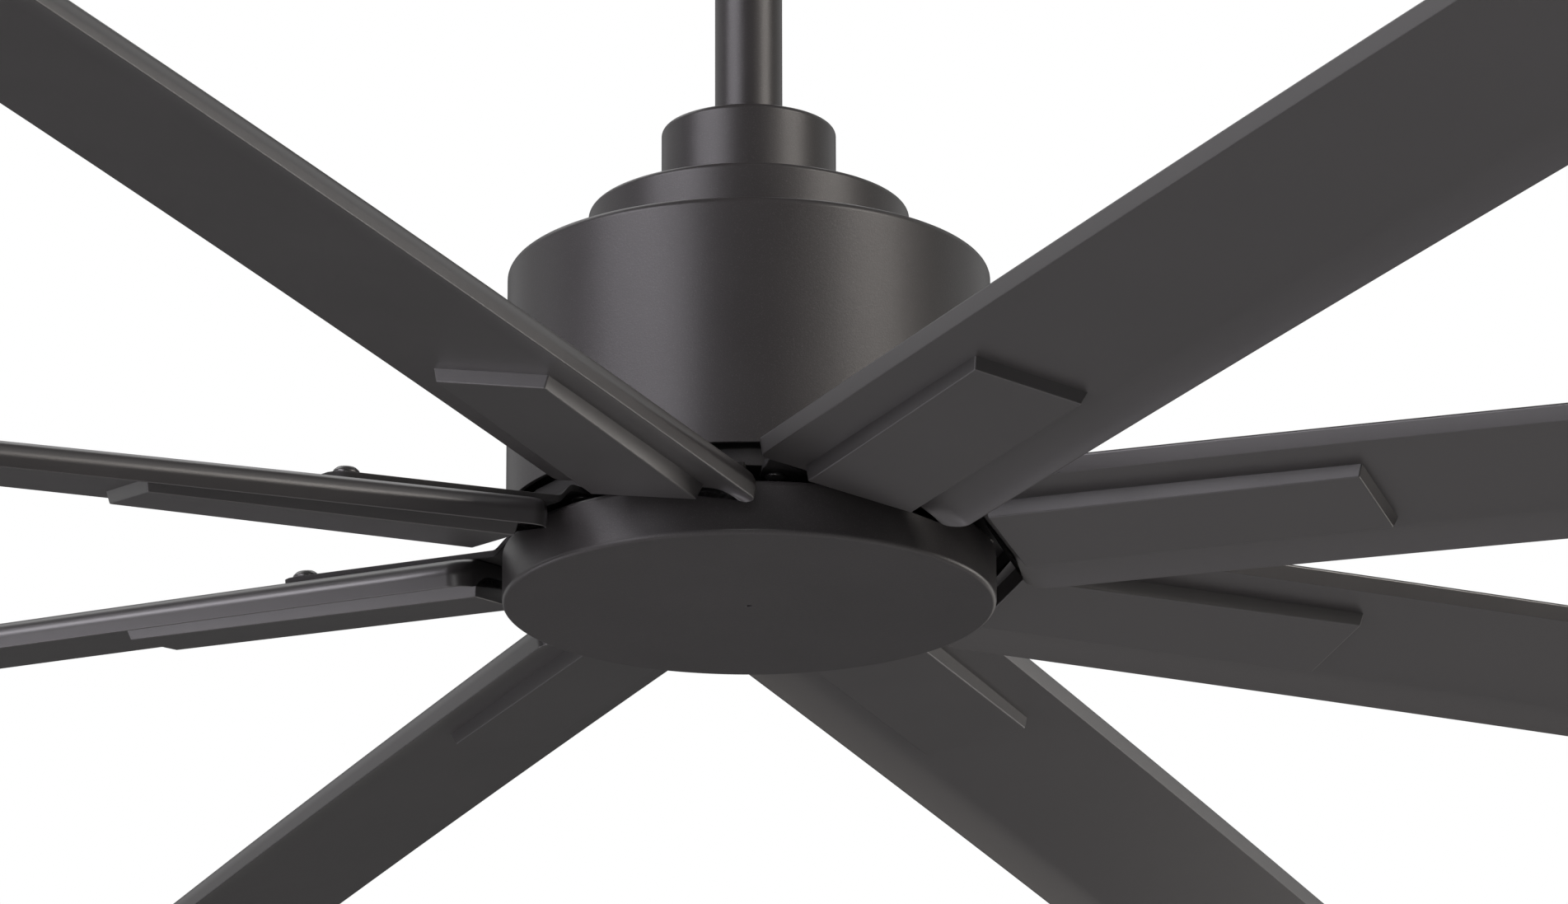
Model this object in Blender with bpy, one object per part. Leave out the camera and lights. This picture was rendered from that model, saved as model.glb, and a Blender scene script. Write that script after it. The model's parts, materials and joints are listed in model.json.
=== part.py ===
"""Outdoor ceiling fan: eight pitched blades under a drum motor housing on a short downrod.

Metres, +Z up. The origin is the middle of the ceiling plane, so everything hangs below zero.
Three groups move against each other: the ceiling bracket with its canopy, the fan body that
swings on the hanger ball, and the rotor that carries the blade irons and blades.
"""

import math

import bmesh
import bpy
from mathutils import Matrix, Vector

# Fits and facets
CLEARANCE = 0.0003
SCREW_CLEARANCE = 0.0003
CUT_OVERRUN = 0.002
LARGE_SEGMENTS = 40
MEDIUM_SEGMENTS = 28
SMALL_SEGMENTS = 24
PIN_SEGMENTS = 12
SCREW_SEGMENTS = 8
HEX_SIDES = 6
FILLET_STEPS = 3

# Ceiling bracket
BRACKET_CANOPY_GAP = 0.006
BRACKET_WIDTH = 0.044
BRACKET_STEEL = 0.0025
EAR_DEPTH = 0.0145
EAR_WIDTH = 0.020
LEG_WIDTH = 0.022
OUTLET_SCREW_SPACING = 0.0889
OUTLET_SLOT_LENGTH = 0.011
OUTLET_SLOT_WIDTH = 0.0055
WIRE_OPENING_LENGTH = 0.032
WIRE_OPENING_WIDTH = 0.008
WIRE_OPENING_OFFSET = 0.013

# Hanger ball and its seat
BALL_RADIUS = 0.026
BALL_DROP = 0.042
BALL_TOP_SHARE = 0.54
BALL_BOTTOM_SHARE = 0.75
BALL_RUNNING_GAP = 0.0004
SEAT_STEEL = 0.0025
SEAT_LOW_ANGLE_DEG = 50.0
SEAT_HIGH_ANGLE_DEG = 80.0
SEAT_FLANGE_WIDTH = 0.010
SEAT_SLOT_GAP = 0.0008
TAB_WIDTH = 0.004
TAB_ENGAGEMENT = 0.0019
GROOVE_WIDTH = 0.0072
GROOVE_DEPTH = 0.0026
GROOVE_DROP = 0.014

# Canopy
CANOPY_RADIUS = 0.070
CANOPY_BELOW_BALL = 0.0235
CANOPY_WALL = 0.0015
CANOPY_FILLET = 0.008
CANOPY_CEILING_GAP = 0.0005
CANOPY_SCREW_DROP = 0.009
CANOPY_SCREW_LENGTH = 0.0105

# Downrod and its pins
ROD_RADIUS = 0.0135
ROD_WALL = 0.0031
ROD_LENGTH = 0.2032
ROD_OVER_PIN = 0.0023
CROSS_PIN_RADIUS = 0.0025
CROSS_PIN_REACH_SHARE = 0.81
CROSS_PIN_RISE_SHARE = 0.43
CLEVIS_PIN_RADIUS = 0.003
CLEVIS_PIN_OVERHANG = 0.004
CLEVIS_HEAD_RADIUS = 0.0048
CLEVIS_HEAD_LENGTH = 0.002
CLEVIS_GROOVE_RADIUS = 0.0022
CLEVIS_PIN_RISE = 0.027
CLIP_THICKNESS = 0.001
CLIP_RADIUS = 0.0052
CLIP_MOUTH_DEG = 70.0
SET_SCREW_RADIUS = 0.0025
SET_SCREW_LENGTH = 0.010
BALL_SCREW_RISE = 0.0

# Coupling cover, top cover and motor housing
ROD_ENGAGEMENT = 0.0454
COVER_RADIUS = 0.0349
COVER_HEIGHT = 0.0349
COVER_WALL = 0.0016
COVER_FILLET = 0.0026
COVER_ROD_GAP = 0.0008
TOP_COVER_RADIUS = 0.0640
TOP_COVER_HEIGHT = 0.0271
TOP_COVER_WALL = 0.0016
TOP_COVER_FILLET = 0.0024
HOUSING_RADIUS = 0.0961
HOUSING_HEIGHT = 0.0962
HOUSING_WALL = 0.0018
HOUSING_FILLET = 0.0034
HOUSING_HOLE_RADIUS = 0.012

# Motor yoke
YOKE_FLANGE_RADIUS = 0.042
YOKE_FLANGE_THICKNESS = 0.006
YOKE_NECK_WALL = 0.0075
YOKE_TOP_SPACE = 0.0034
YOKE_WIRE_RADIUS = 0.005
YOKE_WEB = 0.0034
YOKE_BOLT_EDGE = 0.010
YOKE_BOLT_COUNT = 4
YOKE_BOLT_RADIUS = 0.0025
YOKE_BOLT_BITE = 0.004
BOLT_HEAD_RADIUS = 0.0045
BOLT_HEAD_HEIGHT = 0.0032
YOKE_SCREW_RISE = 0.012

# Control board under the top cover
BOARD_NECK_GAP = 0.006
BOARD_COVER_GAP = 0.006
BOARD_THICKNESS = 0.0016
BOARD_RISE = 0.009
STANDOFF_RADIUS = 0.003
STANDOFF_EDGE = 0.008
STANDOFF_COUNT = 4
CAPACITOR_RADIUS = 0.005
CAPACITOR_HEIGHT = 0.010
CAPACITOR_COUNT = 3
CAPACITOR_PITCH_DEG = 22.0
HEAT_SINK_LENGTH = 0.030
HEAT_SINK_WIDTH = 0.012
HEAT_SINK_HEIGHT = 0.008
CHOKE_SIDE = 0.013
CHOKE_HEIGHT = 0.009

# Shaft and bearings
SHAFT_RADIUS = 0.0085
SHAFT_BORE_RADIUS = 0.0040
SHAFT_END_RADIUS = 0.0062
SHAFT_END_GAP = 0.0012
SHAFT_COLLAR_RADIUS = 0.011
SHAFT_COLLAR_HEIGHT = 0.0032
BEARING_RADIUS = 0.020
BEARING_HEIGHT = 0.010
BEARING_GROOVE = 0.001
BEARING_RACE_SHARE = 0.3

# Stator
STATOR_RISE = 0.021
STATOR_HEIGHT = 0.022
STATOR_AIR_GAP = 0.0010
STATOR_CORE_SHARE = 0.528
STATOR_TOOTH_COUNT = 12
TOOTH_WIDTH_SHARE = 0.132
TOOTH_TIP_DEPTH = 0.005
TOOTH_GAP_SHARE = 0.12
COIL_THICKNESS_SHARE = 0.0594
COIL_LENGTH_SHARE = 0.29
LEAD_RING_SHARE = 0.739
LEAD_RING_WIDTH = 0.004
LEAD_RING_HEIGHT = 0.004

# Rotor shells and magnets
ROTOR_FLOOR = 0.004
ROTOR_HOUSING_GAP = 0.0023
ROTOR_RIM_HEIGHT = 0.007
ROTOR_RIM_STEP = 0.008
ROTOR_WALL_TOP_RISE = 0.059
ROTOR_FLANGE_WIDTH = 0.007
ROTOR_FLANGE_THICKNESS = 0.004
ROTOR_LID_THICKNESS = 0.003
ROTOR_LID_CROWN = 0.003
BEARING_BOSS_WALL = 0.004
BEARING_FLOOR_RADIUS = 0.014
MAGNET_THICKNESS = 0.0032
ROTOR_WALL_THICKNESS = 0.0037
MAGNET_RISE = 0.0180
MAGNET_HEIGHT = 0.028
MAGNET_LEDGE_DEPTH = 0.0030
ROTOR_SCREW_COUNT = 6
ROTOR_SCREW_STEP = 0.0035
ROTOR_SCREW_BITE = 0.003

# Bottom cap and the plate that it twists on to
BLADE_GAP = 0.0156
CAP_STEP = 0.0013
CAP_HEIGHT = 0.0210
CAP_WALL = 0.0020
CAP_FACE_FILLET = 0.0026
CAP_RIM_FILLET = 0.0045
CAP_HOLE_RADIUS = 0.0013
CAP_PLATE_EDGE = 0.0059
CAP_PLATE_THICKNESS = 0.0025
CAP_PLATE_DROP_SHARE = 0.31
CAP_HUB_RADIUS = 0.014
CAP_HUB_HEIGHT_SHARE = 0.14
CAP_LUG_COUNT = 3
CAP_LUG_DEPTH = 0.0065
CAP_LUG_HEIGHT = 0.002
CAP_LUG_WIDTH = 0.012
CAP_TWIST_DEG = 30.0
NUT_RADIUS = 0.0105
NUT_HEIGHT_SHARE = 0.24
LIGHTENING_HOLE_SHARE = 0.131
LIGHTENING_CIRCLE_SHARE = 0.568
LIGHTENING_HOLE_COUNT = 6

# Blades
BLADE_COUNT = 8
FIRST_BLADE_DEG = -65.9
BLADE_PITCH_DEG = 9.5
BLADE_DROOP_DEG = 1.0
BLADE_PLANE_DROP = 0.00065
BLADE_ROOT_GAP = 0.010
BLADE_TIP_RADIUS = 0.8255
BLADE_THICKNESS = 0.0066
HIGH_EDGE_REACH = 0.0416
HIGH_EDGE_LEAN = 0.0025
LOW_EDGE_ROOT_REACH = 0.0485
LOW_EDGE_TIP_REACH = 0.0404
NOSE_DROP = 0.0032
NOSE_RUN = 0.0187
NOSE_LIP = 0.0008
NOSE_SETBACK = 0.0084
NOSE_ROUND_RUN = 0.0022
NOSE_ROUND_FALL = 0.0014
NOSE_STEPS = 4
LOW_CORNER_RADIUS = 0.009
HIGH_CORNER_RADIUS = 0.005
CORNER_SHARES = (0.0, 0.25, 1.0)
PAD_HIGH_REACH = 0.0242
PAD_LOW_REACH = 0.0226
PAD_HEIGHT = 0.0045
PAD_WALL_RUN = 0.0024
PAD_LENGTH = 0.1583
PAD_ROOT_SETBACK = 0.0006

# Blade irons
IRON_THICKNESS = 0.0027
IRON_WIDTH_SHARE = 0.857
IRON_INNER_WIDTH_SHARE = 0.93
IRON_BLADE_GAP = 0.0008
IRON_BEND_RUN = 0.0082
IRON_FLANGE_RUN = 0.015
IRON_LAP = 0.086
IRON_CORNER = 0.008
IRON_SCREW_EDGE = 0.004
IRON_SCREW_SPREAD_SHARE = 0.833
IRON_SCREW_BITE = 0.0045
BLADE_SCREW_EDGE = 0.008
BLADE_SCREW_SPREAD = 0.024
BLADE_SCREW_ROOT_EDGE = 0.023
BLADE_SCREW_BITE = 0.0044
SCREW_HEAD_RADIUS = 0.0050
SCREW_HEAD_HEIGHT = 0.0030
SCREW_SHANK_RADIUS = 0.0020
IRON_SCREW_HEAD_RADIUS = 0.0040
IRON_SCREW_HEAD_HEIGHT = 0.0024
DOME_SHOULDER_SHARE = 0.62

# Sizes that follow from others at the mount
BRACKET_LENGTH = 2 * (CANOPY_RADIUS - BRACKET_CANOPY_GAP)
BALL_TOP_RISE = BALL_TOP_SHARE * BALL_RADIUS
BALL_BOTTOM_DROP = BALL_BOTTOM_SHARE * BALL_RADIUS
CROSS_PIN_RISE = CROSS_PIN_RISE_SHARE * BALL_RADIUS
CROSS_PIN_LENGTH = 2 * CROSS_PIN_REACH_SHARE * BALL_RADIUS
SEAT_FLANGE_RADIUS = BALL_RADIUS + SEAT_FLANGE_WIDTH
SEAT_SLOT_WIDTH = 2 * (ROD_RADIUS + SEAT_SLOT_GAP)
CANOPY_HEIGHT = BALL_DROP + CANOPY_BELOW_BALL
CANOPY_HOLE_RADIUS = BALL_RADIUS
ROD_BORE_RADIUS = ROD_RADIUS - ROD_WALL
ROD_TOP_RISE = CROSS_PIN_RISE + CROSS_PIN_RADIUS + ROD_OVER_PIN

# Sizes that follow from others at the yoke and the board
YOKE_NECK_RADIUS = ROD_RADIUS + YOKE_NECK_WALL
YOKE_BOLT_CIRCLE_RADIUS = YOKE_FLANGE_RADIUS - YOKE_BOLT_EDGE
CLEVIS_PIN_LENGTH = 2 * (YOKE_NECK_RADIUS + CLEVIS_PIN_OVERHANG)
BOARD_INNER_RADIUS = YOKE_NECK_RADIUS + BOARD_NECK_GAP
BOARD_OUTER_RADIUS = TOP_COVER_RADIUS - BOARD_COVER_GAP
STANDOFF_CIRCLE_RADIUS = BOARD_OUTER_RADIUS - STANDOFF_EDGE
COMPONENT_CIRCLE_RADIUS = (BOARD_INNER_RADIUS + BOARD_OUTER_RADIUS) / 2

# Sizes that follow from the housing, inwards through the motor
ROTOR_RIM_RADIUS = HOUSING_RADIUS - HOUSING_WALL - ROTOR_HOUSING_GAP
ROTOR_WALL_RADIUS = ROTOR_RIM_RADIUS - ROTOR_RIM_STEP
ROTOR_FLANGE_RADIUS = ROTOR_WALL_RADIUS + ROTOR_FLANGE_WIDTH
ROTOR_SCREW_CIRCLE_RADIUS = ROTOR_WALL_RADIUS + ROTOR_SCREW_STEP
MAGNET_OUTER_RADIUS = ROTOR_WALL_RADIUS - ROTOR_WALL_THICKNESS - CLEARANCE
MAGNET_INNER_RADIUS = MAGNET_OUTER_RADIUS - MAGNET_THICKNESS
STATOR_RADIUS = MAGNET_INNER_RADIUS - STATOR_AIR_GAP
STATOR_CORE_RADIUS = STATOR_CORE_SHARE * STATOR_RADIUS
TOOTH_WIDTH = TOOTH_WIDTH_SHARE * STATOR_RADIUS
COIL_THICKNESS = COIL_THICKNESS_SHARE * STATOR_RADIUS
COIL_LENGTH = COIL_LENGTH_SHARE * STATOR_RADIUS
LEAD_RING_RADIUS = LEAD_RING_SHARE * STATOR_RADIUS

# Sizes that follow from others under the rotor
CAP_RADIUS = HOUSING_RADIUS + CAP_STEP
CAP_PLATE_RADIUS = CAP_RADIUS - CAP_PLATE_EDGE
CAP_PLATE_DROP = CAP_PLATE_DROP_SHARE * CAP_HEIGHT
CAP_HUB_HEIGHT = CAP_HUB_HEIGHT_SHARE * CAP_HEIGHT
NUT_HEIGHT = NUT_HEIGHT_SHARE * CAP_HEIGHT
SHAFT_END_RISE = CAP_WALL + SHAFT_END_GAP
LIGHTENING_HOLE_RADIUS = LIGHTENING_HOLE_SHARE * CAP_PLATE_RADIUS
LIGHTENING_CIRCLE_RADIUS = LIGHTENING_CIRCLE_SHARE * CAP_PLATE_RADIUS

# Sizes that follow from the rotor's rim, outwards along the irons and blades
BLADE_STEP_DEG = 360.0 / BLADE_COUNT
BLADE_ROOT_RADIUS = ROTOR_RIM_RADIUS + BLADE_ROOT_GAP
PAD_END_RADIUS = BLADE_ROOT_RADIUS + PAD_LENGTH
IRON_BEND_END = BLADE_ROOT_RADIUS - IRON_BLADE_GAP
IRON_BEND_START = IRON_BEND_END - IRON_BEND_RUN
IRON_INNER_RADIUS = IRON_BEND_START - IRON_FLANGE_RUN
IRON_OUTER_RADIUS = BLADE_ROOT_RADIUS + IRON_LAP
IRON_WEDGE_SLOPE = math.tan(math.radians(BLADE_STEP_DEG / 2))
IRON_HALF_WIDTH = IRON_WIDTH_SHARE * IRON_BEND_START * IRON_WEDGE_SLOPE
IRON_INNER_HALF_WIDTH = IRON_INNER_WIDTH_SHARE * IRON_INNER_RADIUS * IRON_WEDGE_SLOPE
IRON_SCREW_REACH = IRON_INNER_RADIUS + IRON_SCREW_EDGE
IRON_SCREW_SPREAD = IRON_SCREW_SPREAD_SHARE * IRON_INNER_HALF_WIDTH
BLADE_SCREW_REACH = IRON_OUTER_RADIUS - BLADE_SCREW_EDGE
BLADE_SCREW_INNER_REACH = BLADE_ROOT_RADIUS + BLADE_SCREW_ROOT_EDGE

# Levels, from the ceiling down
BALL_Z = -BALL_DROP
ROD_TOP_Z = BALL_Z + ROD_TOP_RISE
ROD_BOTTOM_Z = ROD_TOP_Z - ROD_LENGTH
COVER_TOP_Z = ROD_BOTTOM_Z + ROD_ENGAGEMENT
COVER_RIM_Z = COVER_TOP_Z - COVER_HEIGHT
TOP_COVER_TOP_Z = COVER_RIM_Z - CLEARANCE
TOP_COVER_RIM_Z = TOP_COVER_TOP_Z - TOP_COVER_HEIGHT
HOUSING_TOP_Z = TOP_COVER_RIM_Z - CLEARANCE
HOUSING_RIM_Z = HOUSING_TOP_Z - HOUSING_HEIGHT
CAP_RIM_Z = HOUSING_RIM_Z - BLADE_GAP
CAP_FACE_Z = CAP_RIM_Z - CAP_HEIGHT
BLADE_HUB_Z = CAP_RIM_Z - BLADE_PLANE_DROP
CAP_PLATE_TOP_Z = CAP_RIM_Z - CAP_PLATE_DROP
SHAFT_TOP_Z = ROD_BOTTOM_Z - YOKE_WEB - 2 * CLEARANCE
YOKE_BASE_Z = HOUSING_TOP_Z + CLEARANCE


def material(name, colour, roughness, metallic=0.0):
    """Make a plain Principled material."""
    result = bpy.data.materials.new(name)
    result.use_nodes = True
    shader = result.node_tree.nodes["Principled BSDF"]
    shader.inputs["Base Color"].default_value = (*colour, 1.0)
    shader.inputs["Roughness"].default_value = roughness
    shader.inputs["Metallic"].default_value = metallic
    return result


def mesh_from(name, vertices, faces):
    """Make a closed mesh with its faces pointing out."""
    mesh = bpy.data.meshes.new(name)
    mesh.from_pydata(vertices, [], faces)
    work = bmesh.new()
    work.from_mesh(mesh)
    bmesh.ops.recalc_face_normals(work, faces=work.faces)
    work.to_mesh(mesh)
    work.free()
    return mesh


def place(name, mesh, finish, axis=None, matrix=None):
    """Put a mesh in the scene, carried by a joint axis where it moves."""
    result = bpy.data.objects.new(name, mesh)
    bpy.context.collection.objects.link(result)
    if not mesh.materials:
        mesh.materials.append(finish)
    mesh.shade_smooth()
    mesh.set_sharp_from_angle(angle=math.radians(35.0))
    if axis is not None:
        result.parent = axis
        result.matrix_parent_inverse = Matrix.Translation(axis.location).inverted()
    if matrix is not None:
        result.matrix_basis = matrix
    return result


def place_copies(name, mesh, finish, axis, matrices):
    """Place numbered copies of one piece, all sharing its mesh."""
    for number, matrix in enumerate(matrices, start=1):
        place(f"{name}_{number}", mesh, finish, axis, matrix)


def joint_axis(name, z):
    """Place an empty on a joint's axis."""
    empty = bpy.data.objects.new(name, None)
    empty.location = (0.0, 0.0, z)
    bpy.context.collection.objects.link(empty)
    return empty


def arc(centre, radius, start_deg, end_deg, steps):
    """Points of an arc, both ends included."""
    points = []
    for step in range(steps + 1):
        angle = math.radians(start_deg + (end_deg - start_deg) * step / steps)
        points.append((centre[0] + radius * math.cos(angle), centre[1] + radius * math.sin(angle)))
    return points


def turned(profile, segments):
    """Vertices and faces of a closed (radius, height) outline turned about Z."""
    vertices = []
    rings = []
    for radius, height in profile:
        if radius == 0:
            rings.append([len(vertices)] * segments)
            vertices.append((0.0, 0.0, height))
            continue
        ring = []
        for step in range(segments):
            angle = 2 * math.pi * step / segments
            ring.append(len(vertices))
            vertices.append((radius * math.cos(angle), radius * math.sin(angle), height))
        rings.append(ring)
    faces = []
    for low, high in zip(rings, rings[1:] + rings[:1]):
        for step in range(segments):
            after = (step + 1) % segments
            corners = [low[step], low[after], high[after], high[step]]
            face = list(dict.fromkeys(corners))
            if len(face) > 2:
                faces.append(face)
    return vertices, faces


def turned_mesh(name, profile, segments):
    """Mesh of an outline turned about Z."""
    return mesh_from(name, *turned(profile, segments))


def extruded(outline, low_z, high_z):
    """Vertices and faces of a flat outline between two heights."""
    count = len(outline)
    vertices = [(x, y, low_z) for x, y in outline] + [(x, y, high_z) for x, y in outline]
    faces = [list(range(count)), list(range(count, 2 * count))]
    for step in range(count):
        after = (step + 1) % count
        faces.append([step, after, count + after, count + step])
    return vertices, faces


def extruded_mesh(name, outline, low_z, high_z):
    """Mesh of a flat outline between two heights."""
    return mesh_from(name, *extruded(outline, low_z, high_z))


def box_solid(low, high):
    """Vertices and faces of a box between two corners."""
    outline = [(low[0], low[1]), (high[0], low[1]), (high[0], high[1]), (low[0], high[1])]
    return extruded(outline, low[2], high[2])


def box_mesh(name, low, high):
    """Mesh of a box between two corners."""
    return mesh_from(name, *box_solid(low, high))


def copies_mesh(name, vertices, faces, matrices):
    """One mesh holding a copy of a solid at each matrix."""
    all_vertices = []
    all_faces = []
    for matrix in matrices:
        start = len(all_vertices)
        all_vertices += [tuple(matrix @ Vector(vertex)) for vertex in vertices]
        all_faces += [[start + index for index in face] for face in faces]
    return mesh_from(name, all_vertices, all_faces)


def combine(target, mesh, operation, matrix=None):
    """Add or take away a helper solid with a Boolean."""
    helper = place(target.name + "_helper", mesh, target.data.materials[0])
    helper.hide_render = True
    helper.display_type = "WIRE"
    if matrix is not None:
        helper.matrix_basis = matrix
    modifier = target.modifiers.new(operation.lower(), "BOOLEAN")
    modifier.operation = operation
    modifier.solver = "EXACT"
    modifier.object = helper
    return helper


def settled_mesh(target):
    """Mesh of an object with its modifiers applied, the object and its helpers removed."""
    bpy.context.view_layer.update()
    evaluated = target.evaluated_get(bpy.context.evaluated_depsgraph_get())
    mesh = bpy.data.meshes.new_from_object(evaluated)
    mesh.name = target.data.name + "_shape"
    helpers = [modifier.object for modifier in target.modifiers]
    for helper in helpers + [target]:
        bpy.data.objects.remove(helper)
    return mesh


def turn_z(degrees):
    """Rotation about Z."""
    return Matrix.Rotation(math.radians(degrees), 4, "Z")


def along_x(x, z, turn_deg=0.0):
    """Frame at a radius whose +Z points outwards along the turned X axis."""
    return turn_z(turn_deg) @ Matrix.Translation((x, 0.0, z)) @ Matrix.Rotation(math.pi / 2, 4, "Y")


def rod_profile(radius, low_z, high_z):
    """Outline of a plain round bar."""
    return [(0.0, low_z), (radius, low_z), (radius, high_z), (0.0, high_z)]


def screw_profile(head_radius, head_height, shank_radius, shank_length):
    """Outline of a domed screw, its head above zero and its shank below."""
    return [
        (0.0, -shank_length),
        (shank_radius, -shank_length),
        (shank_radius, 0.0),
        (head_radius, 0.0),
        (head_radius * DOME_SHOULDER_SHARE, head_height),
        (0.0, head_height),
    ]


def hex_bolt_profile(head_radius, head_height, shank_radius, shank_length):
    """Outline of a flat-headed bolt, its head above zero and its shank below."""
    return [
        (0.0, -shank_length),
        (shank_radius, -shank_length),
        (shank_radius, 0.0),
        (head_radius, 0.0),
        (head_radius, head_height),
        (0.0, head_height),
    ]


def hole_cutter(name, radius, low_z, high_z, segments=SCREW_SEGMENTS):
    """Mesh of a round cutter along Z."""
    return turned_mesh(name, rod_profile(radius, low_z, high_z), segments)


def cup_profile(radius, wall, rim_z, face_z, fillet, hole_radius):
    """Outline of a round cup, closed at face_z round a hole and open at rim_z."""
    up = 1.0 if face_z > rim_z else -1.0
    centre = (radius - fillet, face_z - up * fillet)
    outer = arc(centre, fillet, 0.0, 90.0 * up, FILLET_STEPS)
    inner = arc(centre, max(fillet - wall, CLEARANCE), 90.0 * up, 0.0, 1)
    closed_edge = [(hole_radius, face_z), (hole_radius, face_z - up * wall)]
    return [(radius - wall, rim_z), (radius, rim_z)] + outer + closed_edge + inner


def make_ceiling_bracket(finish):
    """Stamped bracket: ceiling plate, canopy ears, two legs and the open ball seat."""
    half_length = BRACKET_LENGTH / 2
    half_width = BRACKET_WIDTH / 2
    plate = box_mesh("bracket_plate", (-half_length, -half_width, -BRACKET_STEEL), (half_length, half_width, 0.0))
    bracket = place("ceiling_bracket", plate, finish)
    seat_top = BALL_Z - (BALL_RADIUS + BALL_RUNNING_GAP) * math.cos(math.radians(SEAT_HIGH_ANGLE_DEG))
    for side in (-1.0, 1.0):
        ear_x = side * (half_length - BRACKET_STEEL / 2)
        combine(bracket, upright_mesh("ear", ear_x, EAR_WIDTH, -EAR_DEPTH), "UNION")
        leg_x = side * (SEAT_FLANGE_RADIUS - SEAT_STEEL)
        combine(bracket, upright_mesh("leg", leg_x, LEG_WIDTH, seat_top), "UNION")
    combine(bracket, seat_mesh(seat_top, finish), "UNION")
    for side in (-1.0, 1.0):
        cut_outlet_slot(bracket, side)
        cut_wire_opening(bracket, side)
        ear_hole = hole_cutter("ear_hole", SCREW_SHANK_RADIUS + SCREW_CLEARANCE, -CUT_OVERRUN, CANOPY_SCREW_LENGTH)
        turn = 0.0 if side > 0 else 180.0
        start = half_length - BRACKET_STEEL - CUT_OVERRUN
        combine(bracket, ear_hole, "DIFFERENCE", along_x(start, -CANOPY_SCREW_DROP, turn))
    half_slot = SEAT_SLOT_WIDTH / 2
    slot_low = BALL_Z - BALL_RADIUS - SEAT_STEEL
    slot_high = seat_top + SEAT_STEEL + CUT_OVERRUN
    slot = box_mesh("seat_slot", (-half_slot, -SEAT_FLANGE_RADIUS - CUT_OVERRUN, slot_low), (half_slot, 0.0, slot_high))
    combine(bracket, slot, "DIFFERENCE")
    return bracket


def upright_mesh(name, x, width, low_z):
    """Flat strip bent down from the ceiling plate."""
    half = BRACKET_STEEL / 2
    return box_mesh(name, (x - half, -width / 2, low_z), (x + half, width / 2, -half))


def seat_mesh(seat_top, finish):
    """Spherical ball seat with its flat flange."""
    inner = BALL_RADIUS + BALL_RUNNING_GAP
    outer = inner + SEAT_STEEL
    low = SEAT_LOW_ANGLE_DEG - 90.0
    high = SEAT_HIGH_ANGLE_DEG - 90.0
    centre = (0.0, BALL_Z)
    profile = arc(centre, outer, low, high, 4)
    profile += [(SEAT_FLANGE_RADIUS, seat_top), (SEAT_FLANGE_RADIUS, seat_top + SEAT_STEEL)]
    profile += [(inner, seat_top + SEAT_STEEL)]
    profile += arc(centre, inner, high, low, 4)
    ring = place("seat_ring", turned_mesh("seat_ring", profile, SMALL_SEGMENTS), finish)
    half_tab = TAB_WIDTH / 2
    tab_inner = BALL_RADIUS - TAB_ENGAGEMENT
    tab = box_mesh("tab", (-half_tab, tab_inner, seat_top), (half_tab, SEAT_FLANGE_RADIUS - SEAT_STEEL, seat_top + SEAT_STEEL))
    combine(ring, tab, "UNION")
    return settled_mesh(ring)


def cut_outlet_slot(bracket, side):
    """Slot for an outlet-box screw."""
    middle = side * OUTLET_SCREW_SPACING / 2
    half = OUTLET_SLOT_LENGTH / 2
    low = (middle - half, -OUTLET_SLOT_WIDTH / 2, -BRACKET_STEEL - CUT_OVERRUN)
    high = (middle + half, OUTLET_SLOT_WIDTH / 2, CUT_OVERRUN)
    combine(bracket, box_mesh("outlet_slot", low, high), "DIFFERENCE")


def cut_wire_opening(bracket, side):
    """Opening for the house wires beside the middle of the plate."""
    middle = side * WIRE_OPENING_OFFSET
    half = WIRE_OPENING_WIDTH / 2
    low = (-WIRE_OPENING_LENGTH / 2, middle - half, -BRACKET_STEEL - CUT_OVERRUN)
    high = (WIRE_OPENING_LENGTH / 2, middle + half, CUT_OVERRUN)
    combine(bracket, box_mesh("wire_opening", low, high), "DIFFERENCE")


def make_canopy(finish):
    """Round canopy with a hole for the swinging downrod and two screw holes."""
    profile = cup_profile(
        CANOPY_RADIUS,
        CANOPY_WALL,
        -CANOPY_CEILING_GAP,
        -CANOPY_CEILING_GAP - CANOPY_HEIGHT,
        CANOPY_FILLET,
        CANOPY_HOLE_RADIUS,
    )
    canopy = place("canopy", turned_mesh("canopy", profile, LARGE_SEGMENTS), finish)
    for turn in (0.0, 180.0):
        hole = hole_cutter("canopy_hole", SCREW_SHANK_RADIUS + SCREW_CLEARANCE, -CUT_OVERRUN, CUT_OVERRUN)
        combine(canopy, hole, "DIFFERENCE", along_x(CANOPY_RADIUS - CANOPY_WALL / 2, -CANOPY_SCREW_DROP, turn))
    return canopy


def make_canopy_screws(finish):
    """Two domed screws through the canopy wall into the bracket's ears."""
    profile = screw_profile(SCREW_HEAD_RADIUS, SCREW_HEAD_HEIGHT, SCREW_SHANK_RADIUS, CANOPY_SCREW_LENGTH)
    mesh = turned_mesh("canopy_screw", profile, SCREW_SEGMENTS)
    places = [along_x(CANOPY_RADIUS + CLEARANCE, -CANOPY_SCREW_DROP, turn) for turn in (0.0, 180.0)]
    place_copies("canopy_screw", mesh, finish, None, places)


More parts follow.
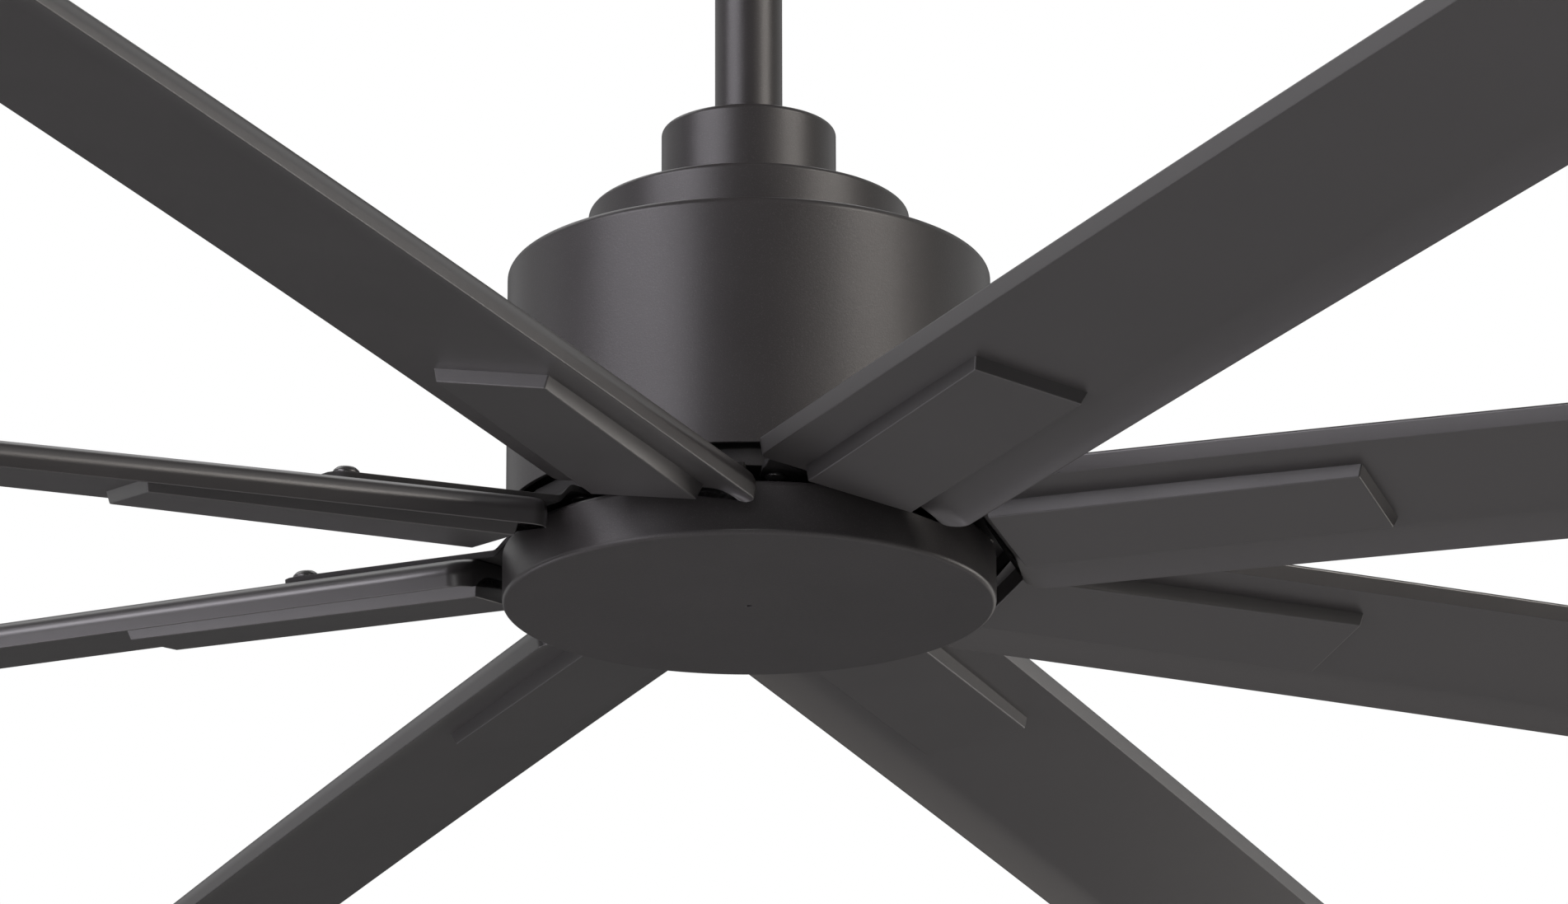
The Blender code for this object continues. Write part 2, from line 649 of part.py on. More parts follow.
def make_hanger_ball(finish, axis):
    """Bored ball with a cross-pin groove, a tab groove and a set-screw hole."""
    low_deg = math.degrees(math.asin(-BALL_BOTTOM_DROP / BALL_RADIUS))
    high_deg = math.degrees(math.asin(BALL_TOP_RISE / BALL_RADIUS))
    bore = ROD_RADIUS + CLEARANCE
    profile = [(bore, BALL_Z - BALL_BOTTOM_DROP)]
    profile += arc((0.0, BALL_Z), BALL_RADIUS, low_deg, high_deg, 8)
    profile += [(bore, BALL_Z + BALL_TOP_RISE)]
    ball = place("hanger_ball", turned_mesh("hanger_ball", profile, SMALL_SEGMENTS), finish, axis)
    groove_floor = BALL_Z + CROSS_PIN_RISE - CROSS_PIN_RADIUS - CLEARANCE
    half = CROSS_PIN_RADIUS + CLEARANCE
    top = BALL_Z + BALL_TOP_RISE + CUT_OVERRUN
    pin_groove = box_mesh("pin_groove", (-BALL_RADIUS, -half, groove_floor), (BALL_RADIUS, half, top))
    combine(ball, pin_groove, "DIFFERENCE")
    half = GROOVE_WIDTH / 2
    groove_low = (-half, BALL_RADIUS - GROOVE_DEPTH, BALL_Z - GROOVE_DROP)
    combine(ball, box_mesh("tab_groove", groove_low, (half, BALL_RADIUS + CUT_OVERRUN, top)), "DIFFERENCE")
    screw_hole = hole_cutter("ball_screw_hole", SET_SCREW_RADIUS + CLEARANCE, ROD_RADIUS, BALL_RADIUS + CUT_OVERRUN)
    combine(ball, screw_hole, "DIFFERENCE", along_x(0.0, BALL_Z + BALL_SCREW_RISE, -90.0))
    return ball


def make_ball_cross_pin(finish, axis):
    """Pin across the rod that rests in the ball's groove."""
    half = CROSS_PIN_LENGTH / 2
    mesh = turned_mesh("ball_cross_pin", rod_profile(CROSS_PIN_RADIUS, -half, half), PIN_SEGMENTS)
    return place("ball_cross_pin", mesh, finish, axis, along_x(0.0, BALL_Z + CROSS_PIN_RISE))


def make_ball_set_screw(finish, axis):
    """Headless screw that locks the rod in the ball."""
    inner = ROD_RADIUS + 2 * CLEARANCE
    profile = rod_profile(SET_SCREW_RADIUS, inner, inner + SET_SCREW_LENGTH)
    mesh = turned_mesh("ball_set_screw", profile, SCREW_SEGMENTS)
    return place("ball_set_screw", mesh, finish, axis, along_x(0.0, BALL_Z + BALL_SCREW_RISE, -90.0))


def make_downrod(finish, axis):
    """Steel tube with a cross-pin hole at each end."""
    profile = [
        (ROD_BORE_RADIUS, ROD_BOTTOM_Z),
        (ROD_RADIUS, ROD_BOTTOM_Z),
        (ROD_RADIUS, ROD_TOP_Z),
        (ROD_BORE_RADIUS, ROD_TOP_Z),
    ]
    rod = place("downrod", turned_mesh("downrod", profile, SMALL_SEGMENTS), finish, axis)
    reach = ROD_RADIUS + CUT_OVERRUN
    for radius, z, turn in (
        (CROSS_PIN_RADIUS, BALL_Z + CROSS_PIN_RISE, 0.0),
        (CLEVIS_PIN_RADIUS, ROD_BOTTOM_Z + CLEVIS_PIN_RISE, 90.0),
    ):
        hole = hole_cutter("pin_hole", radius + CLEARANCE, -reach, reach, PIN_SEGMENTS)
        combine(rod, hole, "DIFFERENCE", along_x(0.0, z, turn))
    return rod


def make_coupling_cover(finish, axis):
    """Small round cover over the yoke."""
    hole = ROD_RADIUS + COVER_ROD_GAP
    profile = cup_profile(COVER_RADIUS, COVER_WALL, COVER_RIM_Z, COVER_TOP_Z, COVER_FILLET, hole)
    return place("coupling_cover", turned_mesh("coupling_cover", profile, MEDIUM_SEGMENTS), finish, axis)


def make_housing_top_cover(finish, axis):
    """Stepped cover over the control board."""
    hole = YOKE_NECK_RADIUS + SHAFT_COLLAR_HEIGHT
    profile = cup_profile(
        TOP_COVER_RADIUS, TOP_COVER_WALL, TOP_COVER_RIM_Z, TOP_COVER_TOP_Z, TOP_COVER_FILLET, hole
    )
    return place("housing_top_cover", turned_mesh("housing_top_cover", profile, MEDIUM_SEGMENTS), finish, axis)


def yoke_bolt_angles():
    """Angles of the bolts that hold the housing to the yoke."""
    return [45.0 + 360.0 * step / YOKE_BOLT_COUNT for step in range(YOKE_BOLT_COUNT)]


def make_motor_housing(finish, axis):
    """Drum housing, open below, bolted under the yoke's flange."""
    profile = cup_profile(
        HOUSING_RADIUS, HOUSING_WALL, HOUSING_RIM_Z, HOUSING_TOP_Z, HOUSING_FILLET, HOUSING_HOLE_RADIUS
    )
    housing = place("motor_housing", turned_mesh("motor_housing", profile, LARGE_SEGMENTS), finish, axis)
    for angle in yoke_bolt_angles():
        low = HOUSING_TOP_Z - HOUSING_WALL - CUT_OVERRUN
        high = HOUSING_TOP_Z + CUT_OVERRUN
        hole = hole_cutter("housing_hole", YOKE_BOLT_RADIUS + SCREW_CLEARANCE, low, high, HEX_SIDES)
        spot = turn_z(angle) @ Matrix.Translation((YOKE_BOLT_CIRCLE_RADIUS, 0.0, 0.0))
        combine(housing, hole, "DIFFERENCE", spot)
    return housing


def make_housing_bolts(finish, axis):
    """Bolts from inside the housing up into the yoke's flange."""
    length = HOUSING_WALL + 2 * CLEARANCE + YOKE_BOLT_BITE
    profile = hex_bolt_profile(BOLT_HEAD_RADIUS, BOLT_HEAD_HEIGHT, YOKE_BOLT_RADIUS, length)
    mesh = turned_mesh("housing_bolt", profile, HEX_SIDES)
    seat_z = HOUSING_TOP_Z - HOUSING_WALL - CLEARANCE
    places = []
    for angle in yoke_bolt_angles():
        spot = Matrix.Translation((YOKE_BOLT_CIRCLE_RADIUS, 0.0, seat_z))
        places.append(turn_z(angle) @ spot @ Matrix.Rotation(math.pi, 4, "X"))
    place_copies("housing_bolt", mesh, finish, axis, places)


def make_motor_yoke(finish, axis):
    """Flanged collar that takes the rod above and the motor shaft below."""
    top_z = COVER_TOP_Z - YOKE_TOP_SPACE
    flange_top = YOKE_BASE_Z + YOKE_FLANGE_THICKNESS
    rod_bore = ROD_RADIUS + CLEARANCE
    shaft_bore = SHAFT_RADIUS + CLEARANCE
    profile = [
        (shaft_bore, YOKE_BASE_Z),
        (YOKE_FLANGE_RADIUS, YOKE_BASE_Z),
        (YOKE_FLANGE_RADIUS, flange_top),
        (YOKE_NECK_RADIUS + CUT_OVERRUN, flange_top),
        (YOKE_NECK_RADIUS, flange_top + CUT_OVERRUN),
        (YOKE_NECK_RADIUS, top_z),
        (rod_bore, top_z),
        (rod_bore, ROD_BOTTOM_Z - CLEARANCE),
        (YOKE_WIRE_RADIUS, ROD_BOTTOM_Z - CLEARANCE),
        (YOKE_WIRE_RADIUS, SHAFT_TOP_Z + CLEARANCE),
        (shaft_bore, SHAFT_TOP_Z + CLEARANCE),
    ]
    yoke = place("motor_yoke", turned_mesh("motor_yoke", profile, SMALL_SEGMENTS), finish, axis)
    reach = YOKE_NECK_RADIUS + CUT_OVERRUN
    pin_hole = hole_cutter("clevis_hole", CLEVIS_PIN_RADIUS + CLEARANCE, -reach, reach, PIN_SEGMENTS)
    combine(yoke, pin_hole, "DIFFERENCE", along_x(0.0, ROD_BOTTOM_Z + CLEVIS_PIN_RISE, 90.0))
    for turn in (0.0, 180.0):
        hole = hole_cutter("set_hole", SET_SCREW_RADIUS + CLEARANCE, ROD_RADIUS, reach)
        combine(yoke, hole, "DIFFERENCE", along_x(0.0, ROD_BOTTOM_Z + YOKE_SCREW_RISE, turn))
    for angle in yoke_bolt_angles():
        hole = hole_cutter(
            "yoke_bolt_hole",
            YOKE_BOLT_RADIUS + SCREW_CLEARANCE,
            YOKE_BASE_Z - CUT_OVERRUN,
            YOKE_BASE_Z + YOKE_BOLT_BITE + CLEARANCE,
            HEX_SIDES,
        )
        spot = turn_z(angle) @ Matrix.Translation((YOKE_BOLT_CIRCLE_RADIUS, 0.0, 0.0))
        combine(yoke, hole, "DIFFERENCE", spot)
    return yoke


def make_clevis_pin(finish, axis):
    """Headed pin through the yoke and the rod, grooved for its clip."""
    half = CLEVIS_PIN_LENGTH / 2
    groove_low = clip_position() - CLEARANCE
    groove_high = clip_position() + CLIP_THICKNESS + CLEARANCE
    profile = [
        (0.0, -half),
        (CLEVIS_HEAD_RADIUS, -half),
        (CLEVIS_HEAD_RADIUS, -half + CLEVIS_HEAD_LENGTH),
        (CLEVIS_PIN_RADIUS, -half + CLEVIS_HEAD_LENGTH),
        (CLEVIS_PIN_RADIUS, groove_low),
        (CLEVIS_GROOVE_RADIUS, groove_low),
        (CLEVIS_GROOVE_RADIUS, groove_high),
        (CLEVIS_PIN_RADIUS, groove_high),
        (CLEVIS_PIN_RADIUS, half),
        (0.0, half),
    ]
    mesh = turned_mesh("clevis_pin", profile, PIN_SEGMENTS)
    return place("clevis_pin", mesh, finish, axis, along_x(0.0, ROD_BOTTOM_Z + CLEVIS_PIN_RISE, 90.0))


def clip_position():
    """Distance of the clip from the rod's axis."""
    return YOKE_NECK_RADIUS + CLEARANCE


def make_clevis_pin_clip(finish, axis):
    """Open ring clip in the pin's groove."""
    half_mouth = CLIP_MOUTH_DEG / 2
    outer = arc((0.0, 0.0), CLIP_RADIUS, half_mouth, 360.0 - half_mouth, PIN_SEGMENTS)
    inner = arc((0.0, 0.0), CLEVIS_GROOVE_RADIUS + CLEARANCE, 360.0 - half_mouth, half_mouth, PIN_SEGMENTS)
    mesh = extruded_mesh("clevis_pin_clip", outer + inner, 0.0, CLIP_THICKNESS)
    spot = along_x(0.0, ROD_BOTTOM_Z + CLEVIS_PIN_RISE, 90.0) @ Matrix.Translation((0.0, 0.0, clip_position()))
    return place("clevis_pin_clip", mesh, finish, axis, spot)


def make_yoke_set_screws(finish, axis):
    """Two headless screws that steady the rod in the yoke."""
    inner = ROD_RADIUS + 2 * CLEARANCE
    profile = rod_profile(SET_SCREW_RADIUS, inner, inner + SET_SCREW_LENGTH)
    mesh = turned_mesh("yoke_set_screw", profile, SCREW_SEGMENTS)
    places = [along_x(0.0, ROD_BOTTOM_Z + YOKE_SCREW_RISE, turn) for turn in (0.0, 180.0)]
    place_copies("yoke_set_screw", mesh, finish, axis, places)


def make_control_board(finish, axis):
    """Round control board on standoffs round the yoke, with its large components."""
    low = HOUSING_TOP_Z + CLEARANCE + BOARD_RISE
    high = low + BOARD_THICKNESS
    profile = [
        (BOARD_INNER_RADIUS, low),
        (BOARD_OUTER_RADIUS, low),
        (BOARD_OUTER_RADIUS, high),
        (BOARD_INNER_RADIUS, high),
    ]
    board = place("control_board", turned_mesh("control_board", profile, MEDIUM_SEGMENTS), finish, axis)
    middle = low + BOARD_THICKNESS / 2
    for step in range(STANDOFF_COUNT):
        spot = turn_z(360.0 * step / STANDOFF_COUNT) @ Matrix.Translation((STANDOFF_CIRCLE_RADIUS, 0.0, 0.0))
        post = rod_profile(STANDOFF_RADIUS, HOUSING_TOP_Z + CLEARANCE, middle)
        combine(board, turned_mesh("standoff", post, HEX_SIDES), "UNION", spot)
    for step in range(CAPACITOR_COUNT):
        turn = 90.0 + CAPACITOR_PITCH_DEG * (step - (CAPACITOR_COUNT - 1) / 2)
        spot = turn_z(turn) @ Matrix.Translation((COMPONENT_CIRCLE_RADIUS, 0.0, 0.0))
        can = rod_profile(CAPACITOR_RADIUS, middle, high + CAPACITOR_HEIGHT)
        combine(board, turned_mesh("capacitor", can, PIN_SEGMENTS), "UNION", spot)
    add_board_block(board, HEAT_SINK_WIDTH, HEAT_SINK_LENGTH, middle, high + HEAT_SINK_HEIGHT, 225.0)
    add_board_block(board, CHOKE_SIDE, CHOKE_SIDE, middle, high + CHOKE_HEIGHT, 315.0)
    return board


def add_board_block(board, depth, width, low_z, high_z, turn_deg):
    """Rectangular component on the board."""
    low = (-depth / 2, -width / 2, low_z)
    high = (depth / 2, width / 2, high_z)
    spot = turn_z(turn_deg) @ Matrix.Translation((COMPONENT_CIRCLE_RADIUS, 0.0, 0.0))
    combine(board, box_mesh("component", low, high), "UNION", spot)


def blade_frame():
    """Frame of an unturned blade: X along the blade, Y across it to the low edge."""
    droop = Matrix.Rotation(math.radians(BLADE_DROOP_DEG), 4, "Y")
    pitch = Matrix.Rotation(math.radians(-BLADE_PITCH_DEG), 4, "X")
    return Matrix.Translation((0.0, 0.0, BLADE_HUB_Z)) @ droop @ pitch


def iron_flange_z():
    """Height of the underside of the irons' flat flanges."""
    return (blade_frame() @ Vector((IRON_BEND_END, 0.0, BLADE_THICKNESS + CLEARANCE))).z


def rotor_bottom_z():
    """Height of the rotor's lower face, on which the irons are screwed."""
    return iron_flange_z() + IRON_THICKNESS + CLEARANCE


def lower_bearing_z():
    """Height of the lower bearing's underside."""
    return rotor_bottom_z() + ROTOR_FLOOR + 2 * CLEARANCE


def upper_bearing_z():
    """Height of the upper bearing's underside."""
    pocket_top = rotor_bottom_z() + ROTOR_WALL_TOP_RISE + ROTOR_LID_CROWN
    return pocket_top - CLEARANCE - BEARING_HEIGHT


def make_motor_shaft(finish, axis):
    """Hollow fixed shaft from the yoke down to the cap plate's nut."""
    collar_top = upper_bearing_z() - CLEARANCE
    collar_low = collar_top - SHAFT_COLLAR_HEIGHT
    shoulder = CAP_PLATE_TOP_Z + CLEARANCE
    bottom = CAP_FACE_Z + SHAFT_END_RISE
    profile = [
        (SHAFT_BORE_RADIUS, bottom),
        (SHAFT_END_RADIUS, bottom),
        (SHAFT_END_RADIUS, shoulder),
        (SHAFT_RADIUS, shoulder),
        (SHAFT_RADIUS, collar_low),
        (SHAFT_COLLAR_RADIUS, collar_low),
        (SHAFT_COLLAR_RADIUS, collar_top),
        (SHAFT_RADIUS, collar_top),
        (SHAFT_RADIUS, SHAFT_TOP_Z),
        (SHAFT_BORE_RADIUS, SHAFT_TOP_Z),
    ]
    return place("motor_shaft", turned_mesh("motor_shaft", profile, PIN_SEGMENTS), finish, axis)


def make_bearing(name, low_z, finish, axis):
    """Ball bearing as one ring with the groove between its races."""
    inner = SHAFT_RADIUS + CLEARANCE
    race = (BEARING_RADIUS - inner) * BEARING_RACE_SHARE
    high_z = low_z + BEARING_HEIGHT
    profile = [
        (inner, low_z),
        (inner + race, low_z),
        (inner + race, low_z + BEARING_GROOVE),
        (BEARING_RADIUS - race, low_z + BEARING_GROOVE),
        (BEARING_RADIUS - race, low_z),
        (BEARING_RADIUS, low_z),
        (BEARING_RADIUS, high_z),
        (inner, high_z),
    ]
    return place(name, turned_mesh(name, profile, PIN_SEGMENTS), finish, axis)


def tooth_tip_half_deg():
    """Half the angle that a tooth's tip covers."""
    return 360.0 / STATOR_TOOTH_COUNT * (1.0 - TOOTH_GAP_SHARE) / 2


def stator_outline():
    """Outline of the laminations: a core with T-shaped teeth."""
    outline = []
    pitch = 360.0 / STATOR_TOOTH_COUNT
    tip_half_deg = tooth_tip_half_deg()
    neck_radius = STATOR_RADIUS - TOOTH_TIP_DEPTH
    root_half_deg = math.degrees(math.asin(TOOTH_WIDTH / 2 / STATOR_CORE_RADIUS))
    neck_half_deg = math.degrees(math.asin(TOOTH_WIDTH / 2 / neck_radius))
    for tooth in range(STATOR_TOOTH_COUNT):
        for radius, offset in (
            (STATOR_CORE_RADIUS, -root_half_deg),
            (neck_radius, -neck_half_deg),
            (neck_radius, -tip_half_deg),
            (STATOR_RADIUS, -tip_half_deg),
            (STATOR_RADIUS, 0.0),
            (STATOR_RADIUS, tip_half_deg),
            (neck_radius, tip_half_deg),
            (neck_radius, neck_half_deg),
            (STATOR_CORE_RADIUS, root_half_deg),
        ):
            angle = math.radians(pitch * tooth + offset)
            outline.append((radius * math.cos(angle), radius * math.sin(angle)))
    return outline


def make_stator_core(finish, axis):
    """Stack of laminations on the shaft."""
    low = rotor_bottom_z() + STATOR_RISE
    high = low + STATOR_HEIGHT
    core = place("stator_core", extruded_mesh("stator_core", stator_outline(), low, high), finish, axis)
    bore = hole_cutter("stator_bore", SHAFT_RADIUS + CLEARANCE, low - CUT_OVERRUN, high + CUT_OVERRUN, PIN_SEGMENTS)
    combine(core, bore, "DIFFERENCE")
    return core


def coil_solid():
    """Rectangular coil round a tooth that points along X."""
    low = rotor_bottom_z() + STATOR_RISE - CLEARANCE
    high = low + STATOR_HEIGHT + 2 * CLEARANCE
    half = TOOTH_WIDTH / 2 + CLEARANCE
    neck_radius = STATOR_RADIUS - TOOTH_TIP_DEPTH
    end_x = neck_radius * math.cos(math.radians(tooth_tip_half_deg())) - CLEARANCE
    wall = COIL_THICKNESS
    inner = [(-half, low), (half, low), (half, high), (-half, high)]
    outer = [
        (-half - wall, low - wall),
        (half + wall, low - wall),
        (half + wall, high + wall),
        (-half - wall, high + wall),
    ]
    vertices = []
    for x in (end_x - COIL_LENGTH, end_x):
        vertices += [(x, y, z) for y, z in inner + outer]
    corners = len(inner)
    stride = len(inner) + len(outer)
    faces = []
    for step in range(corners):
        after = (step + 1) % corners
        faces.append([step, after, stride + after, stride + step])
        faces.append([corners + step, corners + after, stride + corners + after, stride + corners + step])
        for base in (0, stride):
            faces.append([base + step, base + corners + step, base + corners + after, base + after])
    return vertices, faces


def make_stator_windings(finish, axis):
    """One coil round each tooth, joined by the ring of leads laced over them."""
    pitch = 360.0 / STATOR_TOOTH_COUNT
    places = [turn_z(pitch * tooth) for tooth in range(STATOR_TOOTH_COUNT)]
    coils = copies_mesh("stator_windings", *coil_solid(), places)
    windings = place("stator_windings", coils, finish, axis)
    coil_top = rotor_bottom_z() + STATOR_RISE + STATOR_HEIGHT + CLEARANCE + COIL_THICKNESS
    low = coil_top - LEAD_RING_HEIGHT / 2
    high = coil_top + LEAD_RING_HEIGHT / 2
    inner = LEAD_RING_RADIUS - LEAD_RING_WIDTH / 2
    outer = LEAD_RING_RADIUS + LEAD_RING_WIDTH / 2
    profile = [(inner, low), (outer, low), (outer, high), (inner, high)]
    combine(windings, turned_mesh("lead_ring", profile, SMALL_SEGMENTS), "UNION")
    return windings


def cap_lug_turns(twist_deg=0.0):
    """Angles of the cap's lugs, or of the plate's entry notches when twisted."""
    return [360.0 * step / CAP_LUG_COUNT + twist_deg for step in range(CAP_LUG_COUNT)]


def make_cap_plate(finish, axis):
    """Fixed plate under the rotor with notches for the cap's lugs."""
    low = CAP_PLATE_TOP_Z - CAP_PLATE_THICKNESS
    bore = SHAFT_END_RADIUS + CLEARANCE
    profile = [
        (bore, low - CAP_HUB_HEIGHT),
        (CAP_HUB_RADIUS, low - CAP_HUB_HEIGHT),
        (CAP_HUB_RADIUS, low),
        (CAP_PLATE_RADIUS, low),
        (CAP_PLATE_RADIUS, CAP_PLATE_TOP_Z),
        (bore, CAP_PLATE_TOP_Z),
    ]
    plate = place("cap_plate", turned_mesh("cap_plate", profile, MEDIUM_SEGMENTS), finish, axis)
    under = low - CUT_OVERRUN
    over = CAP_PLATE_TOP_Z + CUT_OVERRUN
    half = CAP_LUG_WIDTH / 2 + CUT_OVERRUN
    inner = CAP_RADIUS - CAP_WALL - CAP_LUG_DEPTH - CUT_OVERRUN
    notch = box_solid((inner, -half, under), (CAP_RADIUS, half, over))
    turns = [turn_z(turn) for turn in cap_lug_turns(CAP_TWIST_DEG)]
    combine(plate, copies_mesh("notches", *notch, turns), "DIFFERENCE")
    hole = turned(rod_profile(LIGHTENING_HOLE_RADIUS, under, over), PIN_SEGMENTS)
    spots = []
    for step in range(LIGHTENING_HOLE_COUNT):
        turn = turn_z(360.0 * step / LIGHTENING_HOLE_COUNT)
        spots.append(turn @ Matrix.Translation((LIGHTENING_CIRCLE_RADIUS, 0.0, 0.0)))
    combine(plate, copies_mesh("lightening_holes", *hole, spots), "DIFFERENCE")
    return plate


def make_shaft_nut(finish, axis):
    """Hexagon nut that holds the cap plate up."""
    high = CAP_PLATE_TOP_Z - CAP_PLATE_THICKNESS - CAP_HUB_HEIGHT - CLEARANCE
    low = high - NUT_HEIGHT
    blank = turned_mesh("shaft_nut", rod_profile(NUT_RADIUS, low, high), HEX_SIDES)
    nut = place("shaft_nut", blank, finish, axis)
    bore = hole_cutter("nut_bore", SHAFT_END_RADIUS + CLEARANCE, low - CUT_OVERRUN, high + CUT_OVERRUN, PIN_SEGMENTS)
    combine(nut, bore, "DIFFERENCE")
    return nut


def bottom_cap_profile():
    """Outline of the shallow cap: flat face, rounded edge, shoulder rolled in at the rim."""
    inner_fillet = CAP_FACE_FILLET - CAP_WALL
    face_centre = (CAP_RADIUS - CAP_FACE_FILLET, CAP_FACE_Z + CAP_FACE_FILLET)
    rim_centre = (CAP_RADIUS - CAP_RIM_FILLET, CAP_RIM_Z - CAP_RIM_FILLET)
    profile = [(CAP_HOLE_RADIUS, CAP_FACE_Z)]
    profile += arc(face_centre, CAP_FACE_FILLET, -90.0, 0.0, FILLET_STEPS)
    profile += arc(rim_centre, CAP_RIM_FILLET, 0.0, 90.0, FILLET_STEPS)
    profile += arc(rim_centre, CAP_RIM_FILLET - CAP_WALL, 90.0, 0.0, FILLET_STEPS - 1)
    profile += arc(face_centre, inner_fillet, 0.0, -90.0, 1)
    profile += [(CAP_HOLE_RADIUS, CAP_FACE_Z + CAP_WALL)]
    return profile


def make_bottom_cap(finish, axis):
    """Twist-on cap with lugs that rest on the cap plate's rim."""
    mesh = turned_mesh("bottom_cap", bottom_cap_profile(), LARGE_SEGMENTS)
    cap = place("bottom_cap", mesh, finish, axis)
    low_z = CAP_PLATE_TOP_Z + CLEARANCE
    outer = CAP_RADIUS - CAP_WALL / 2
    inner = CAP_RADIUS - CAP_WALL - CAP_LUG_DEPTH
    half = CAP_LUG_WIDTH / 2
    for turn in cap_lug_turns():
        lug = box_mesh("lug", (inner, -half, low_z), (outer - CAP_WALL / 2, half, low_z + CAP_LUG_HEIGHT))
        combine(cap, lug, "UNION", turn_z(turn))
    return cap


def make_rotor_lower_shell(finish, axis):
    """Lower rotor shell: iron rim, bearing pocket, magnet ledge and joint flange."""
    base = rotor_bottom_z()
    floor = base + ROTOR_FLOOR
    pocket = BEARING_RADIUS + CLEARANCE
    boss = pocket + BEARING_BOSS_WALL
    wall_top = base + ROTOR_WALL_TOP_RISE
    magnet_seat = MAGNET_OUTER_RADIUS + CLEARANCE
    ledge_z = base + MAGNET_RISE - CLEARANCE
    rim_top = base + ROTOR_RIM_HEIGHT
    profile = [
        (BEARING_FLOOR_RADIUS, base),
        (ROTOR_RIM_RADIUS, base),
        (ROTOR_RIM_RADIUS, rim_top),
        (ROTOR_WALL_RADIUS, rim_top + CUT_OVERRUN),
        (ROTOR_WALL_RADIUS, wall_top - ROTOR_FLANGE_THICKNESS),
        (ROTOR_FLANGE_RADIUS, wall_top - ROTOR_FLANGE_THICKNESS),
        (ROTOR_FLANGE_RADIUS, wall_top),
        (magnet_seat, wall_top),
        (magnet_seat, ledge_z),
        (magnet_seat - MAGNET_LEDGE_DEPTH, ledge_z),
        (magnet_seat - MAGNET_LEDGE_DEPTH, floor),
        (boss, floor),
        (boss, floor + BEARING_HEIGHT),
        (pocket, floor + BEARING_HEIGHT),
        (pocket, floor + CLEARANCE),
        (BEARING_FLOOR_RADIUS, floor + CLEARANCE),
    ]
    mesh = turned_mesh("rotor_lower_shell", profile, MEDIUM_SEGMENTS)
    shell = place("rotor_lower_shell", mesh, finish, axis)
    bite = IRON_SCREW_BITE + CLEARANCE
    hole = turned(rod_profile(SCREW_SHANK_RADIUS + SCREW_CLEARANCE, base - CUT_OVERRUN, base + bite), HEX_SIDES)
    combine(shell, copies_mesh("iron_screw_holes", *hole, iron_screw_places(0.0)), "DIFFERENCE")
    low = wall_top - ROTOR_SCREW_BITE - CLEARANCE
    top_hole = turned(rod_profile(SCREW_SHANK_RADIUS + SCREW_CLEARANCE, low, wall_top + CUT_OVERRUN), HEX_SIDES)
    combine(shell, copies_mesh("rotor_screw_holes", *top_hole, rotor_screw_places(0.0)), "DIFFERENCE")
    return shell


def rotor_screw_places(z):
    """Frames of the screws round the rotor's joint flange."""
    places = []
    for step in range(ROTOR_SCREW_COUNT):
        turn = turn_z(360.0 * step / ROTOR_SCREW_COUNT)
        places.append(turn @ Matrix.Translation((ROTOR_SCREW_CIRCLE_RADIUS, 0.0, z)))
    return places


def make_rotor_upper_shell(finish, axis):
    """Crowned rotor lid with the upper bearing's pocket."""
    joint = rotor_bottom_z() + ROTOR_WALL_TOP_RISE + CLEARANCE
    rim_top = joint + ROTOR_LID_THICKNESS
    crown_top = rim_top + ROTOR_LID_CROWN
    pocket = BEARING_RADIUS + CLEARANCE
    boss = pocket + BEARING_BOSS_WALL
    pocket_top = upper_bearing_z() + BEARING_HEIGHT + CLEARANCE
    pocket_low = upper_bearing_z() + CLEARANCE
    profile = [
        (BEARING_FLOOR_RADIUS, pocket_top),
        (pocket, pocket_top),
        (pocket, pocket_low),
        (boss, pocket_low),
        (boss, joint + ROTOR_LID_CROWN / 2),
        (ROTOR_WALL_RADIUS, joint),
        (ROTOR_FLANGE_RADIUS, joint),
        (ROTOR_FLANGE_RADIUS, rim_top),
        (ROTOR_WALL_RADIUS, rim_top),
        (boss, crown_top),
        (BEARING_FLOOR_RADIUS, crown_top),
    ]
    mesh = turned_mesh("rotor_upper_shell", profile, MEDIUM_SEGMENTS)
    shell = place("rotor_upper_shell", mesh, finish, axis)
    low = joint - CUT_OVERRUN
    high = rim_top + CUT_OVERRUN
    hole = turned(rod_profile(SCREW_SHANK_RADIUS + SCREW_CLEARANCE, low, high), HEX_SIDES)
    combine(shell, copies_mesh("lid_holes", *hole, rotor_screw_places(0.0)), "DIFFERENCE")
    return shell


def make_rotor_screws(finish, axis):
    """Screws that join the two rotor shells."""
    length = ROTOR_LID_THICKNESS + 2 * CLEARANCE + ROTOR_SCREW_BITE - CLEARANCE
    profile = hex_bolt_profile(IRON_SCREW_HEAD_RADIUS, IRON_SCREW_HEAD_HEIGHT, SCREW_SHANK_RADIUS, length)
    mesh = turned_mesh("rotor_screw", profile, HEX_SIDES)
    seat = rotor_bottom_z() + ROTOR_WALL_TOP_RISE + ROTOR_LID_THICKNESS + 2 * CLEARANCE
    place_copies("rotor_screw", mesh, finish, axis, rotor_screw_places(seat))


def make_magnet_ring(finish, axis):
    """Ring magnet inside the rotor's wall."""
    low = rotor_bottom_z() + MAGNET_RISE
    profile = [
        (MAGNET_INNER_RADIUS, low),
        (MAGNET_OUTER_RADIUS, low),
        (MAGNET_OUTER_RADIUS, low + MAGNET_HEIGHT),
        (MAGNET_INNER_RADIUS, low + MAGNET_HEIGHT),
    ]
    return place("magnet_ring", turned_mesh("magnet_ring", profile, MEDIUM_SEGMENTS), finish, axis)


def blade_turns():
    """Angle of each blade about the rotor's axis."""
    return [FIRST_BLADE_DEG + BLADE_STEP_DEG * step for step in range(BLADE_COUNT)]


